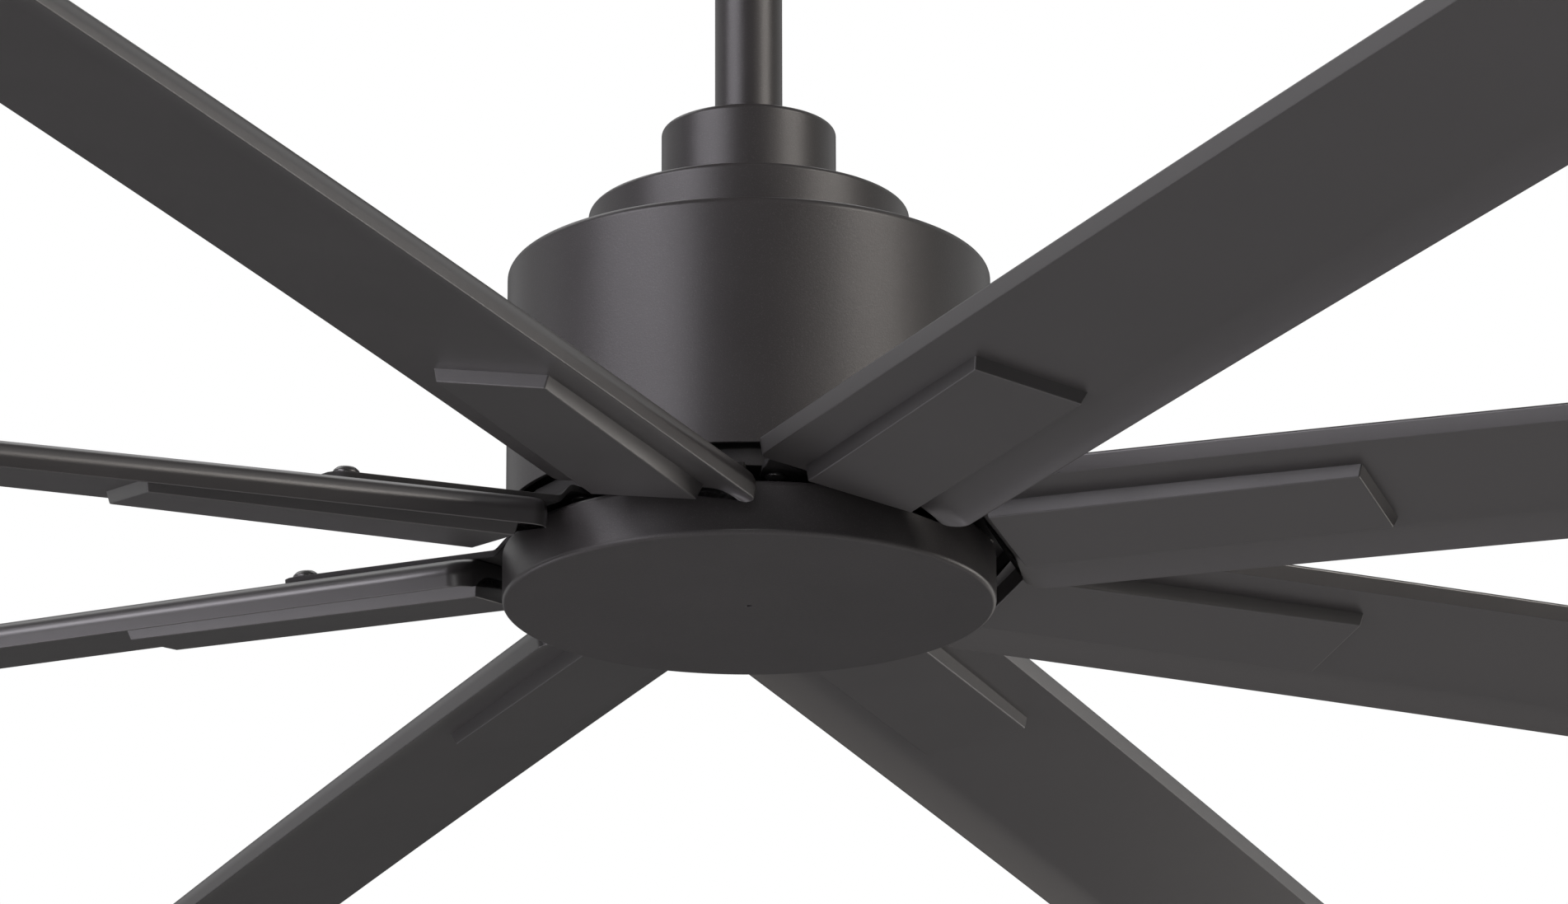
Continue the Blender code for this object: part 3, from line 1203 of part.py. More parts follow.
def iron_screw_places(z):
    """Frames of the screws that hold the irons to the rotor."""
    places = []
    for turn in blade_turns():
        for side in (-1.0, 1.0):
            spot = Matrix.Translation((IRON_SCREW_REACH, side * IRON_SCREW_SPREAD, z))
            places.append(turn_z(turn) @ spot)
    return places


def blade_screw_spots():
    """Places of a blade's screws along and across it."""
    return [
        (BLADE_SCREW_REACH, -BLADE_SCREW_SPREAD),
        (BLADE_SCREW_REACH, BLADE_SCREW_SPREAD),
        (BLADE_SCREW_INNER_REACH, 0.0),
    ]


def corner_inset(distance, radius):
    """How far a rounded corner has drawn an edge in at a distance from the end."""
    if distance >= radius:
        return 0.0
    return radius - math.sqrt(radius ** 2 - (radius - distance) ** 2)


def low_edge_reach(x):
    """Reach of the nose's lowest edge across the blade, which tapers to the tip."""
    share = (x - BLADE_ROOT_RADIUS) / (BLADE_TIP_RADIUS - BLADE_ROOT_RADIUS)
    return LOW_EDGE_ROOT_REACH + (LOW_EDGE_TIP_REACH - LOW_EDGE_ROOT_REACH) * share


def blade_section(x, distance_to_end):
    """Cross-section: flat web, leaning high edge and the drooped nose on the low edge."""
    high = HIGH_EDGE_REACH - corner_inset(distance_to_end, HIGH_CORNER_RADIUS)
    low = low_edge_reach(x) - corner_inset(distance_to_end, LOW_CORNER_RADIUS)
    bend_radius = (NOSE_RUN ** 2 + NOSE_DROP ** 2) / (2 * NOSE_DROP)
    points = [(-high - HIGH_EDGE_LEAN, BLADE_THICKNESS), (-high, 0.0)]
    for step in range(NOSE_STEPS + 1):
        run = NOSE_RUN * step / NOSE_STEPS
        fall = bend_radius - math.sqrt(bend_radius ** 2 - run ** 2)
        points.append((low - NOSE_LIP - NOSE_RUN + run, -fall))
    points.append((low, -NOSE_DROP + NOSE_LIP))
    points.append((low - NOSE_SETBACK + NOSE_ROUND_RUN, BLADE_THICKNESS - NOSE_ROUND_FALL))
    points.append((low - NOSE_SETBACK, BLADE_THICKNESS))
    return [(x, y, z) for y, z in points]


def blade_stations():
    """Distances along the blade where its section is drawn."""
    length = BLADE_TIP_RADIUS - BLADE_ROOT_RADIUS
    near = [share * LOW_CORNER_RADIUS for share in CORNER_SHARES]
    far = [length - distance for distance in reversed(near)]
    return [(BLADE_ROOT_RADIUS + distance, min(distance, length - distance)) for distance in near + far]


def lofted_mesh(name, sections):
    """Mesh through a row of sections with the same number of points."""
    count = len(sections[0])
    vertices = [point for section in sections for point in section]
    last = count * (len(sections) - 1)
    faces = [list(range(count)), list(range(last, last + count))]
    for row in range(len(sections) - 1):
        for step in range(count):
            after = (step + 1) % count
            start = row * count
            faces.append([start + step, start + after, start + count + after, start + count + step])
    return mesh_from(name, vertices, faces)


def pad_mesh():
    """Raised clamping pad on the blade's underside, with sloped walls."""
    inner = BLADE_ROOT_RADIUS + PAD_ROOT_SETBACK
    slope = PAD_WALL_RUN / PAD_HEIGHT
    rise = BLADE_THICKNESS / 2
    spread = slope * rise
    top = [
        (inner, -PAD_HIGH_REACH - spread, rise),
        (PAD_END_RADIUS + spread, -PAD_HIGH_REACH - spread, rise),
        (PAD_END_RADIUS + spread, PAD_LOW_REACH + spread, rise),
        (inner, PAD_LOW_REACH + spread, rise),
    ]
    bottom = [
        (inner, -PAD_HIGH_REACH + PAD_WALL_RUN, -PAD_HEIGHT),
        (PAD_END_RADIUS - PAD_WALL_RUN, -PAD_HIGH_REACH + PAD_WALL_RUN, -PAD_HEIGHT),
        (PAD_END_RADIUS - PAD_WALL_RUN, PAD_LOW_REACH - PAD_WALL_RUN, -PAD_HEIGHT),
        (inner, PAD_LOW_REACH - PAD_WALL_RUN, -PAD_HEIGHT),
    ]
    return lofted_mesh("pad", [top, bottom])


def blade_mesh(finish):
    """Shared blade shape: web, nose, pad and blind screw holes."""
    sections = [blade_section(x, distance) for x, distance in blade_stations()]
    blade = place("blade_shape", lofted_mesh("blade", sections), finish)
    combine(blade, pad_mesh(), "UNION")
    low = BLADE_THICKNESS - BLADE_SCREW_BITE - CLEARANCE
    hole = turned(
        rod_profile(SCREW_SHANK_RADIUS + SCREW_CLEARANCE, low, BLADE_THICKNESS + CUT_OVERRUN),
        SCREW_SEGMENTS,
    )
    spots = [Matrix.Translation((x, y, 0.0)) for x, y in blade_screw_spots()]
    combine(blade, copies_mesh("blade_holes", *hole, spots), "DIFFERENCE")
    return settled_mesh(blade)


def iron_section(x, half_width, in_blade_frame):
    """Rectangular section of a blade iron, flat on the rotor or lying on the blade."""
    under = BLADE_THICKNESS + CLEARANCE
    over = under + IRON_THICKNESS
    corners = [(-half_width, under), (half_width, under), (half_width, over), (-half_width, over)]
    if in_blade_frame:
        return [tuple(blade_frame() @ Vector((x, y, z))) for y, z in corners]
    flange = iron_flange_z()
    return [(x, y, z - under + flange) for y, z in corners]


def iron_mesh(finish):
    """Shared iron shape: flat flange, quick twist, plate on the blade, and its screws."""
    sections = [
        iron_section(IRON_INNER_RADIUS, IRON_INNER_HALF_WIDTH, False),
        iron_section(IRON_BEND_START, IRON_HALF_WIDTH, False),
        iron_section(IRON_BEND_END, IRON_HALF_WIDTH, True),
        iron_section(IRON_OUTER_RADIUS - IRON_CORNER, IRON_HALF_WIDTH, True),
        iron_section(IRON_OUTER_RADIUS, IRON_HALF_WIDTH - IRON_CORNER, True),
    ]
    iron = place("iron_shape", lofted_mesh("iron", sections), finish)
    combine(iron, iron_screw_mesh(), "UNION")
    combine(iron, blade_screw_mesh(), "UNION")
    return settled_mesh(iron)


def iron_screw_mesh():
    """The two screws of an iron that go up into the rotor's rim."""
    length = IRON_THICKNESS + IRON_SCREW_BITE + CLEARANCE
    profile = hex_bolt_profile(IRON_SCREW_HEAD_RADIUS, IRON_SCREW_HEAD_HEIGHT, SCREW_SHANK_RADIUS, length)
    solid = turned(profile, HEX_SIDES)
    flip = Matrix.Rotation(math.pi, 4, "X")
    places = []
    for side in (-1.0, 1.0):
        spot = Matrix.Translation((IRON_SCREW_REACH, side * IRON_SCREW_SPREAD, iron_flange_z()))
        places.append(spot @ flip)
    return copies_mesh("iron_screws", *solid, places)


def blade_screw_mesh():
    """The three screws of an iron that go down into its blade."""
    length = IRON_THICKNESS + BLADE_SCREW_BITE
    profile = screw_profile(SCREW_HEAD_RADIUS, SCREW_HEAD_HEIGHT, SCREW_SHANK_RADIUS, length)
    solid = turned(profile, HEX_SIDES)
    seat = BLADE_THICKNESS + CLEARANCE + IRON_THICKNESS
    places = [blade_frame() @ Matrix.Translation((x, y, seat)) for x, y in blade_screw_spots()]
    return copies_mesh("blade_screws", *solid, places)


def make_blades(finish, axis):
    """Eight blades on the rotor."""
    places = [turn_z(turn) @ blade_frame() for turn in blade_turns()]
    place_copies("blade", blade_mesh(finish), finish, axis, places)


def make_blade_irons(finish, axis):
    """Eight irons between the rotor and the blades."""
    places = [turn_z(turn) for turn in blade_turns()]
    place_copies("blade_iron", iron_mesh(finish), finish, axis, places)


def clear_scene():
    """Remove every object of the starting scene."""
    for item in list(bpy.data.objects):
        bpy.data.objects.remove(item)


def build_mounting(steel, bronze, screw_black):
    """Pieces fixed to the ceiling."""
    make_ceiling_bracket(steel)
    make_canopy(bronze)
    make_canopy_screws(screw_black)


def build_fan_body(axis, steel, bronze, screw_black):
    """Pieces that swing on the hanger ball without turning."""
    iron = material("cast_iron", (0.12, 0.12, 0.12), 0.6, 0.6)
    board = material("board_green", (0.03, 0.12, 0.06), 0.5)
    copper = material("winding_copper", (0.55, 0.25, 0.10), 0.4, 0.8)
    make_hanger_ball(material("ball_nylon", (0.05, 0.05, 0.05), 0.5), axis)
    make_ball_cross_pin(steel, axis)
    make_ball_set_screw(screw_black, axis)
    make_downrod(bronze, axis)
    make_coupling_cover(bronze, axis)
    make_motor_yoke(iron, axis)
    make_clevis_pin(steel, axis)
    make_clevis_pin_clip(steel, axis)
    make_yoke_set_screws(screw_black, axis)
    make_housing_top_cover(bronze, axis)
    make_control_board(board, axis)
    make_motor_housing(bronze, axis)
    make_housing_bolts(steel, axis)
    make_motor_shaft(steel, axis)
    make_bearing("upper_bearing", upper_bearing_z(), steel, axis)
    make_bearing("lower_bearing", lower_bearing_z(), steel, axis)
    make_stator_core(material("lamination_steel", (0.30, 0.30, 0.31), 0.5, 0.8), axis)
    make_stator_windings(copper, axis)
    make_cap_plate(bronze, axis)
    make_shaft_nut(steel, axis)
    make_bottom_cap(bronze, axis)


def build_rotor(axis, bronze, screw_black):
    """Pieces that turn about the shaft."""
    aluminium = material("cast_aluminium", (0.50, 0.50, 0.51), 0.5, 0.9)
    make_rotor_lower_shell(bronze, axis)
    make_rotor_upper_shell(aluminium, axis)
    make_rotor_screws(screw_black, axis)
    make_magnet_ring(material("ferrite", (0.06, 0.06, 0.065), 0.6), axis)
    make_blade_irons(bronze, axis)
    make_blades(material("blade_bronze", (0.045, 0.042, 0.042), 0.5), axis)


def main():
    """Build the whole fan."""
    clear_scene()
    steel = material("zinc_steel", (0.55, 0.55, 0.56), 0.35, 1.0)
    bronze = material("powder_bronze", (0.045, 0.042, 0.042), 0.48, 0.3)
    screw_black = material("screw_black", (0.03, 0.03, 0.03), 0.4, 0.6)
    build_mounting(steel, bronze, screw_black)
    build_fan_body(joint_axis("hanger_tilt_axis", BALL_Z), steel, bronze, screw_black)
    build_rotor(joint_axis("rotor_spin_axis", BLADE_HUB_Z), bronze, screw_black)


main()
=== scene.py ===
"""Outdoor ceiling fan, dressed: smooth shells, moulded blades, irons, screws, finishes and light."""

from __future__ import annotations

import json
import logging
import math
from dataclasses import dataclass
from enum import Enum
from typing import Callable, Iterable, Sequence

import bmesh
import bpy
from mathutils import Matrix, Vector

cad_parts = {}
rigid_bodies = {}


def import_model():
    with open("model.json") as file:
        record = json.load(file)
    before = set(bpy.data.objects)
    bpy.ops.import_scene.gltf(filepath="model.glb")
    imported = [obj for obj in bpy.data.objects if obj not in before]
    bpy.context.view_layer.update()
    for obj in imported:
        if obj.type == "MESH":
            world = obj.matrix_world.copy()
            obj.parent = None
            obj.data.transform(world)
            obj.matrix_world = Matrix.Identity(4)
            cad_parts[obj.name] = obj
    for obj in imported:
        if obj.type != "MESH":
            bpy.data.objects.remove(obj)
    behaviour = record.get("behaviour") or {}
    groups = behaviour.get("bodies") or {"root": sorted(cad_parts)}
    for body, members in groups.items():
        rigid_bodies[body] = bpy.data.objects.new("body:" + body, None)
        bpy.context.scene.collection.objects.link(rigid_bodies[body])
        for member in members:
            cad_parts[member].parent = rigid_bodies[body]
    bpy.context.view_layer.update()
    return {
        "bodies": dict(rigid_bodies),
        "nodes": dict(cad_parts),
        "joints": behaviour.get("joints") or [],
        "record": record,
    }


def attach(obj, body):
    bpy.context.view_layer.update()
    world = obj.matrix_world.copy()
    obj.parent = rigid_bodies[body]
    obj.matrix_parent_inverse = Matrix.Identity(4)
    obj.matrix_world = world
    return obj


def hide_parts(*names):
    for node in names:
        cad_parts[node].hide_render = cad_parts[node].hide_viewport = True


LOG = logging.getLogger("ceiling_fan")

Point = tuple[float, float]
Corner = tuple[float, float, float]
Colour = tuple[float, float, float]
MERGE_DISTANCE = 1e-7
CAD_MERGE_DISTANCE = 1e-6
CAD_FLAT_DEG = 1.0
WIDE_SEGMENTS = 192
ROD_SEGMENTS = 96
SCREW_SEGMENTS = 32


class Body(str, Enum):
    """The bodies that a piece can ride on."""

    CEILING = "ceiling_mount"
    FAN = "fan_body"
    ROTOR = "rotor"


class Grain(Enum):
    """The surface patterns that a finish can have."""

    POWDER = "powder"
    MOULDED = "moulded"
    PLATED = "plated"
    CAST = "cast"
    LAMINATED = "laminated"
    WOUND = "wound"
    PRINTED = "printed"


class Wire:
    """A shader socket that can be used in sums and products."""

    def __init__(self, tree: bpy.types.NodeTree, socket: bpy.types.NodeSocket) -> None:
        """Keep the socket and the tree that it belongs to."""
        self.tree = tree
        self.socket = socket

    def _math(self, operation: str, first: Wire | float, second: Wire | float) -> Wire:
        """Add one Math node.

        Args:
            operation: The Math node's operation.
            first: The first value.
            second: The second value.

        Returns:
            The node's result.
        """
        node = self.tree.nodes.new("ShaderNodeMath")
        node.operation = operation
        for socket, value in zip(node.inputs, (first, second)):
            if isinstance(value, Wire):
                self.tree.links.new(value.socket, socket)
            else:
                socket.default_value = value
        return Wire(self.tree, node.outputs[0])

    def __add__(self, other: Wire | float) -> Wire:
        """Sum."""
        return self._math("ADD", self, other)

    def __radd__(self, other: float) -> Wire:
        """Sum, reflected."""
        return self._math("ADD", other, self)

    def __sub__(self, other: Wire | float) -> Wire:
        """Difference."""
        return self._math("SUBTRACT", self, other)

    def __rsub__(self, other: float) -> Wire:
        """Difference, reflected."""
        return self._math("SUBTRACT", other, self)

    def __mul__(self, other: Wire | float) -> Wire:
        """Product."""
        return self._math("MULTIPLY", self, other)

    def __rmul__(self, other: float) -> Wire:
        """Product, reflected."""
        return self._math("MULTIPLY", other, self)

    def above(self, level: float) -> Wire:
        """One where the value is above a level, else zero."""
        return self._math("GREATER_THAN", self, level)

    def at_least(self, other: Wire | float) -> Wire:
        """The larger of two values."""
        return self._math("MAXIMUM", self, other)


class Shader:
    """A material's node tree with short ways to add nodes."""

    def __init__(self, name: str) -> None:
        """Make a material whose tree is still the plain one.

        Args:
            name: The material's name.
        """
        self.material = bpy.data.materials.new(name)
        self.material.use_nodes = True
        self.tree = self.material.node_tree
        self.surface = self.tree.nodes["Principled BSDF"]

    def node(
        self,
        kind: str,
        settings: dict[str, object] | None = None,
        inputs: dict[str, object] | None = None,
        output: str | int = 0,
    ) -> Wire:
        """Add a node of any type.

        Args:
            kind: The node's type.
            settings: Properties that are set first; "stops" fills a colour ramp.
            inputs: Values or wires for its sockets, by name or number.
            output: The socket to return.

        Returns:
            The chosen output as a wire.
        """
        made = self.tree.nodes.new(kind)
        for key, value in (settings or {}).items():
            if key == "stops":
                self._fill_ramp(made.color_ramp, value)
            else:
                setattr(made, key, value)
        for key, value in (inputs or {}).items():
            socket = made.inputs[key]
            if isinstance(value, Wire):
                self.tree.links.new(value.socket, socket)
            else:
                socket.default_value = value
        return Wire(self.tree, made.outputs[output])

    @staticmethod
    def _fill_ramp(ramp: bpy.types.ColorRamp, stops: Sequence[tuple[float, float]]) -> None:
        """Set a grey colour ramp's stops.

        Args:
            ramp: The ramp.
            stops: Places and greys of its stops.
        """
        while len(ramp.elements) < len(stops):
            ramp.elements.new(0.5)
        for element, (place, grey) in zip(ramp.elements, stops):
            element.position = place
            element.color = (grey, grey, grey, 1.0)

    def place(self) -> Wire:
        """The object's own coordinates."""
        return self.node("ShaderNodeTexCoord", output="Object")

    def noise(self, scale: float, detail: float = 2.0, roughness: float = 0.5) -> Wire:
        """Even noise in object coordinates."""
        inputs = {"Vector": self.place(), "Scale": scale, "Detail": detail, "Roughness": roughness}
        return self.node("ShaderNodeTexNoise", inputs=inputs)

    def ramp(self, value: Wire, stops: Sequence[tuple[float, float]]) -> Wire:
        """Grey ramp of a value."""
        return self.node("ShaderNodeValToRGB", {"stops": stops}, {"Fac": value})

    def blend(self, share: Wire, first: Colour, second: Colour) -> Wire:
        """Mix of two colours."""
        inputs = {"Factor": share, 6: (*first, 1.0), 7: (*second, 1.0)}
        return self.node("ShaderNodeMix", {"data_type": "RGBA"}, inputs, output=2)

    def bump(self, height: Wire, distance: float, strength: float) -> Wire:
        """Bump of a height."""
        inputs = {"Height": height, "Distance": distance, "Strength": strength}
        return self.node("ShaderNodeBump", inputs=inputs, output="Normal")

    def drive(self, socket: str, value: Wire | float) -> None:
        """Set or link one socket of the surface.

        Args:
            socket: The socket's name.
            value: A number for the whole surface, or a wire.
        """
        if isinstance(value, Wire):
            self.tree.links.new(value.socket, self.surface.inputs[socket])
        else:
            self.surface.inputs[socket].default_value = value


@dataclass(frozen=True)
class Finish:
    """A surface finish.

    Attributes:
        name: The finish, and the record's material slot unless another is given.
        grain: Its surface pattern.
        colour: Its main colour.
        second: The colour that its pattern mixes in.
        roughness: Its mean roughness.
        metallic: Its metallic value.
        specular: Strength of its mirror reflection.
        slot: The record's material slot, where the name isn't one.
    """

    name: str
    grain: Grain
    colour: Colour
    second: Colour
    roughness: float
    metallic: float = 0.0
    specular: float = 0.5
    slot: str = ""

    def material(self) -> bpy.types.Material:
        """Build the material.

        Returns:
            The material, with its slot kept on it.
        """
        shader = Shader("fan_" + self.name)
        shader.drive("Metallic", self.metallic)
        shader.drive("Specular IOR Level", self.specular)
        patterns: dict[Grain, Callable[[Shader], None]] = {
            Grain.POWDER: self._powder,
            Grain.MOULDED: self._moulded,
            Grain.PLATED: self._plated,
            Grain.CAST: self._cast,
            Grain.LAMINATED: self._laminated,
            Grain.WOUND: self._wound,
            Grain.PRINTED: self._printed,
        }
        patterns[self.grain](shader)
        shader.material["slot"] = self.slot or self.name
        return shader.material

    def _powder(self, shader: Shader) -> None:
        """Baked powder: fine orange peel, sparse metallic specks and faint clouding.

        Args:
            shader: The material's shader.
        """
        peel = shader.noise(1500.0, 3.0, 0.6)
        cloud = shader.noise(22.0, 3.0, 0.55)
        speck = shader.ramp(shader.noise(2600.0, 1.0), ((0.60, 0.0), (0.72, 1.0)))
        share = 0.25 * cloud + 0.55 * speck
        shader.drive("Base Color", shader.blend(share, self.colour, self.second))
        shader.drive("Roughness", self.roughness + 0.10 * (cloud - 0.5) + 0.06 * (peel - 0.5))
        shader.drive("Normal", shader.bump(peel, 0.00012, 0.35))

    def _moulded(self, shader: Shader) -> None:
        """Moulded plastic: very fine texture, faint flow marks along the piece.

        Args:
            shader: The material's shader.
        """
        fine = shader.noise(2100.0, 2.0, 0.6)
        cloud = shader.noise(14.0, 4.0, 0.6)
        shader.drive("Base Color", shader.blend(0.5 * cloud + 0.3 * fine, self.colour, self.second))
        shader.drive("Roughness", self.roughness + 0.12 * (cloud - 0.5) + 0.06 * (fine - 0.5))
        shader.drive("Normal", shader.bump(fine, 0.00008, 0.3))

    def _plated(self, shader: Shader) -> None:
        """Zinc or black plating: soft spangle and fine draw marks.

        Args:
            shader: The material's shader.
        """
        inputs = {"Vector": shader.place(), "Scale": 420.0}
        spangle = shader.node("ShaderNodeTexVoronoi", {"feature": "F1"}, inputs)
        cloud = shader.noise(60.0, 3.0, 0.6)
        shader.drive("Base Color", shader.blend(0.5 * spangle + 0.5 * cloud, self.colour, self.second))
        shader.drive("Roughness", self.roughness + 0.22 * (cloud - 0.5))
        shader.drive("Normal", shader.bump(shader.noise(900.0, 2.0), 0.00005, 0.3))

    def _cast(self, shader: Shader) -> None:
        """Cast metal: grainy skin with darker pits.

        Args:
            shader: The material's shader.
        """
        skin = shader.noise(700.0, 5.0, 0.65)
        pits = shader.ramp(shader.noise(260.0, 2.0), ((0.28, 1.0), (0.42, 0.0)))
        shader.drive("Base Color", shader.blend((0.6 * skin + 0.5 * pits), self.colour, self.second))
        shader.drive("Roughness", self.roughness + 0.2 * (skin - 0.5))
        shader.drive("Normal", shader.bump(skin - 0.6 * pits, 0.0003, 0.5))

    def _laminated(self, shader: Shader) -> None:
        """Stacked steel sheets, half a millimetre each.

        Args:
            shader: The material's shader.
        """
        bands = shader.node(
            "ShaderNodeTexWave",
            {"bands_direction": "Z", "wave_profile": "SIN"},
            {"Vector": shader.place(), "Scale": 628.0, "Distortion": 0.0},
        )
        shader.drive("Base Color", shader.blend(bands, self.colour, self.second))
        shader.drive("Roughness", self.roughness + 0.15 * (shader.noise(90.0) - 0.5))
        shader.drive("Normal", shader.bump(bands, 0.0001, 0.6))

    def _wound(self, shader: Shader) -> None:
        """Layers of enamelled wire.

        Args:
            shader: The material's shader.
        """
        turns = shader.node(
            "ShaderNodeTexWave",
            {"bands_direction": "Z", "wave_profile": "SIN"},
            {"Vector": shader.place(), "Scale": 420.0, "Distortion": 1.5, "Detail": 1.0},
        )
        shader.drive("Base Color", shader.blend(turns, self.second, self.colour))
        shader.drive("Roughness", self.roughness + 0.2 * (turns - 0.5))
        shader.drive("Normal", shader.bump(turns, 0.0003, 0.9))

    def _printed(self, shader: Shader) -> None:
        """Solder mask over copper tracks.

        Args:
            shader: The material's shader.
        """
        tracks = shader.node(
            "ShaderNodeTexVoronoi",
            {"feature": "DISTANCE_TO_EDGE", "distance": "EUCLIDEAN"},
            {"Vector": shader.place(), "Scale": 190.0},
        )
        edge = shader.ramp(tracks, ((0.04, 1.0), (0.09, 0.0)))
        shader.drive("Base Color", shader.blend(edge, self.colour, self.second))
        shader.drive("Roughness", self.roughness + 0.2 * (shader.noise(300.0) - 0.5))
        shader.drive("Normal", shader.bump(edge, 0.00005, 0.6))


# Darker colours of the powder coat for the pieces in the gap under the housing: painted shade.
SHADED_GAP_COLOURS: tuple[Colour, Colour] = ((0.020, 0.019, 0.019), (0.040, 0.038, 0.038))


@dataclass(frozen=True)
class Finishes:
    """Every finish of the fan: one for each of the record's slots, and a darker, duller copy of the powder
    coat that paints the shade of the gap.
    """

    entries: tuple[Finish, ...] = (
        Finish("powder_bronze", Grain.POWDER, (0.026, 0.024, 0.024), (0.075, 0.069, 0.070), 0.35, 0.0, 0.5),
        Finish("blade_bronze", Grain.MOULDED, (0.028, 0.026, 0.026), (0.040, 0.037, 0.037), 0.34, 0.0, 1.0),
        # The powder coat made darker as painted shade for the gap, and duller.
        Finish("dull_bronze", Grain.POWDER, *SHADED_GAP_COLOURS, 0.55, 0.0, 0.3, "powder_bronze"),
        Finish("zinc_steel", Grain.PLATED, (0.48, 0.48, 0.49), (0.62, 0.62, 0.63), 0.34, 1.0),
        Finish("screw_black", Grain.PLATED, (0.035, 0.034, 0.034), (0.10, 0.098, 0.098), 0.28, 0.6, 1.0),
        Finish("ball_nylon", Grain.MOULDED, (0.035, 0.035, 0.035), (0.06, 0.06, 0.06), 0.45),
        Finish("cast_iron", Grain.CAST, (0.11, 0.11, 0.11), (0.05, 0.05, 0.052), 0.6, 0.6),
        Finish("cast_aluminium", Grain.CAST, (0.5, 0.5, 0.51), (0.34, 0.34, 0.35), 0.45, 0.9),
        Finish("lamination_steel", Grain.LAMINATED, (0.3, 0.3, 0.31), (0.16, 0.16, 0.17), 0.45, 0.8),
        Finish("winding_copper", Grain.WOUND, (0.55, 0.25, 0.1), (0.25, 0.09, 0.03), 0.35, 0.8),
        Finish("ferrite", Grain.CAST, (0.06, 0.06, 0.065), (0.035, 0.035, 0.04), 0.6),
        Finish("board_green", Grain.PRINTED, (0.02, 0.1, 0.045), (0.09, 0.22, 0.08), 0.4),
    )

    def build(self) -> dict[str, bpy.types.Material]:
        """Build every material, by the finish's name."""
        return {finish.name: finish.material() for finish in self.entries}


def rounded(corners: Sequence[Corner], steps: int = 4, closed: bool = True) -> list[Point]:
    """Round the corners of an outline.

    Args:
        corners: Corner points as (x, y, radius); zero keeps a corner sharp.
        steps: Facets of each rounding.
        closed: Whether the last corner joins the first.

    Returns:
        The outline's points, the same number for the same corners.
    """
    points: list[Point] = []
    count = len(corners)
    for index, (x, y, radius) in enumerate(corners):
        here = Vector((x, y))
        if radius <= 0 or (not closed and index in (0, count - 1)):
            points.append((x, y))
            continue
        before = Vector(corners[index - 1][:2]) - here
        after = Vector(corners[(index + 1) % count][:2]) - here
        half = before.angle(after) / 2
        reach = min(radius / math.tan(half), 0.49 * before.length, 0.49 * after.length)
        start = here + before.normalized() * reach
        end = here + after.normalized() * reach
        centre = here + (before.normalized() + after.normalized()).normalized() * (reach / math.cos(half))
        swing = (start - centre).angle_signed(end - centre)
        for step in range(steps + 1):
            spoke = Matrix.Rotation(-swing * step / steps, 2) @ (start - centre)
            points.append(tuple(centre + spoke))
    return points


def mesh_of(
    name: str, points: Iterable[Vector | tuple], faces: Iterable[Sequence[int]]
) -> bpy.types.Mesh:
    """Make a closed mesh with its doubles merged and its faces outwards.

    Args:
        name: The mesh's name.
        points: Its points.
        faces: Its faces, as numbers of points.

    Returns:
        The mesh.
    """
    mesh = bpy.data.meshes.new(name)
    mesh.from_pydata([tuple(point) for point in points], [], [list(face) for face in faces])
    work = bmesh.new()
    work.from_mesh(mesh)
    bmesh.ops.remove_doubles(work, verts=work.verts, dist=MERGE_DISTANCE)
    bmesh.ops.recalc_face_normals(work, faces=work.faces)
    work.to_mesh(mesh)
    work.free()
    return mesh


BLOCK_FACES = [(0, 1, 2, 3), (4, 5, 6, 7), (0, 1, 5, 4), (1, 2, 6, 5), (2, 3, 7, 6), (3, 0, 4, 7)]


def turned(name: str, outline: Sequence[Point], segments: int = 160) -> bpy.types.Mesh:
    """Turn a closed (radius, height) outline about Z.

    Args:
        name: The mesh's name.
        outline: The closed outline.
        segments: Facets round the axis.

    Returns:
        The turned mesh.
    """
    count = len(outline)
    points = []
    for step in range(segments):
        angle = 2 * math.pi * step / segments
        points += [(r * math.cos(angle), r * math.sin(angle), z) for r, z in outline]
    faces = []
    for step in range(segments):
        here = step * count
        there = (step + 1) % segments * count
        for index in range(count):
            after = (index + 1) % count
            faces.append((here + index, there + index, there + after, here + after))
    return mesh_of(name, points, faces)


def lofted(name: str, sections: Sequence[Sequence[Vector | tuple]]) -> bpy.types.Mesh:
    """Join a row of sections with equal point counts, and close both ends.

    Args:
        name: The mesh's name.
        sections: The sections, in order.

    Returns:
        The closed mesh.
    """
    count = len(sections[0])
    points = [point for section in sections for point in section]
    last = count * (len(sections) - 1)
    faces: list[Sequence[int]] = [range(count), range(last, last + count)]
    for row in range(len(sections) - 1):
        for index in range(count):
            after = (index + 1) % count
            start = row * count
            faces.append((start + index, start + after, start + count + after, start + count + index))
    return mesh_of(name, points, faces)


def placed(name: str, data: bpy.types.ID) -> bpy.types.Object:
    """Put a mesh, light or camera in the scene as an object at the origin.

    Args:
        name: The object's name.
        data: What it holds.

    Returns:
        The object.
    """
    holder = bpy.data.objects.new(name, data)
    bpy.context.collection.objects.link(holder)
    return holder


def evaluated(holder: bpy.types.Object) -> bpy.types.Mesh:
    """Copy the mesh that an object's modifiers give.

    Args:
        holder: The object.

    Returns:
        The plain mesh.
    """
    bpy.context.view_layer.update()
    result = holder.evaluated_get(bpy.context.evaluated_depsgraph_get())
    return bpy.data.meshes.new_from_object(result)


def bevelled(
    name: str, mesh: bpy.types.Mesh, width: float, segments: int, angle_deg: float
) -> bpy.types.Mesh:
    """Copy a mesh with its edges rounded.

    Args:
        name: A name for the work.
        mesh: The sharp mesh.
        width: The bevel's width.
        segments: The bevel's segments.
        angle_deg: Edges flatter than this stay as they are.

    Returns:
        The bevelled mesh.
    """
    holder = placed(name, mesh)
    bevel = holder.modifiers.new("edge", "BEVEL")
    bevel.width = width
    bevel.segments = segments
    bevel.limit_method = "ANGLE"
    bevel.angle_limit = math.radians(angle_deg)
    result = evaluated(holder)
    bpy.data.objects.remove(holder)
    return result


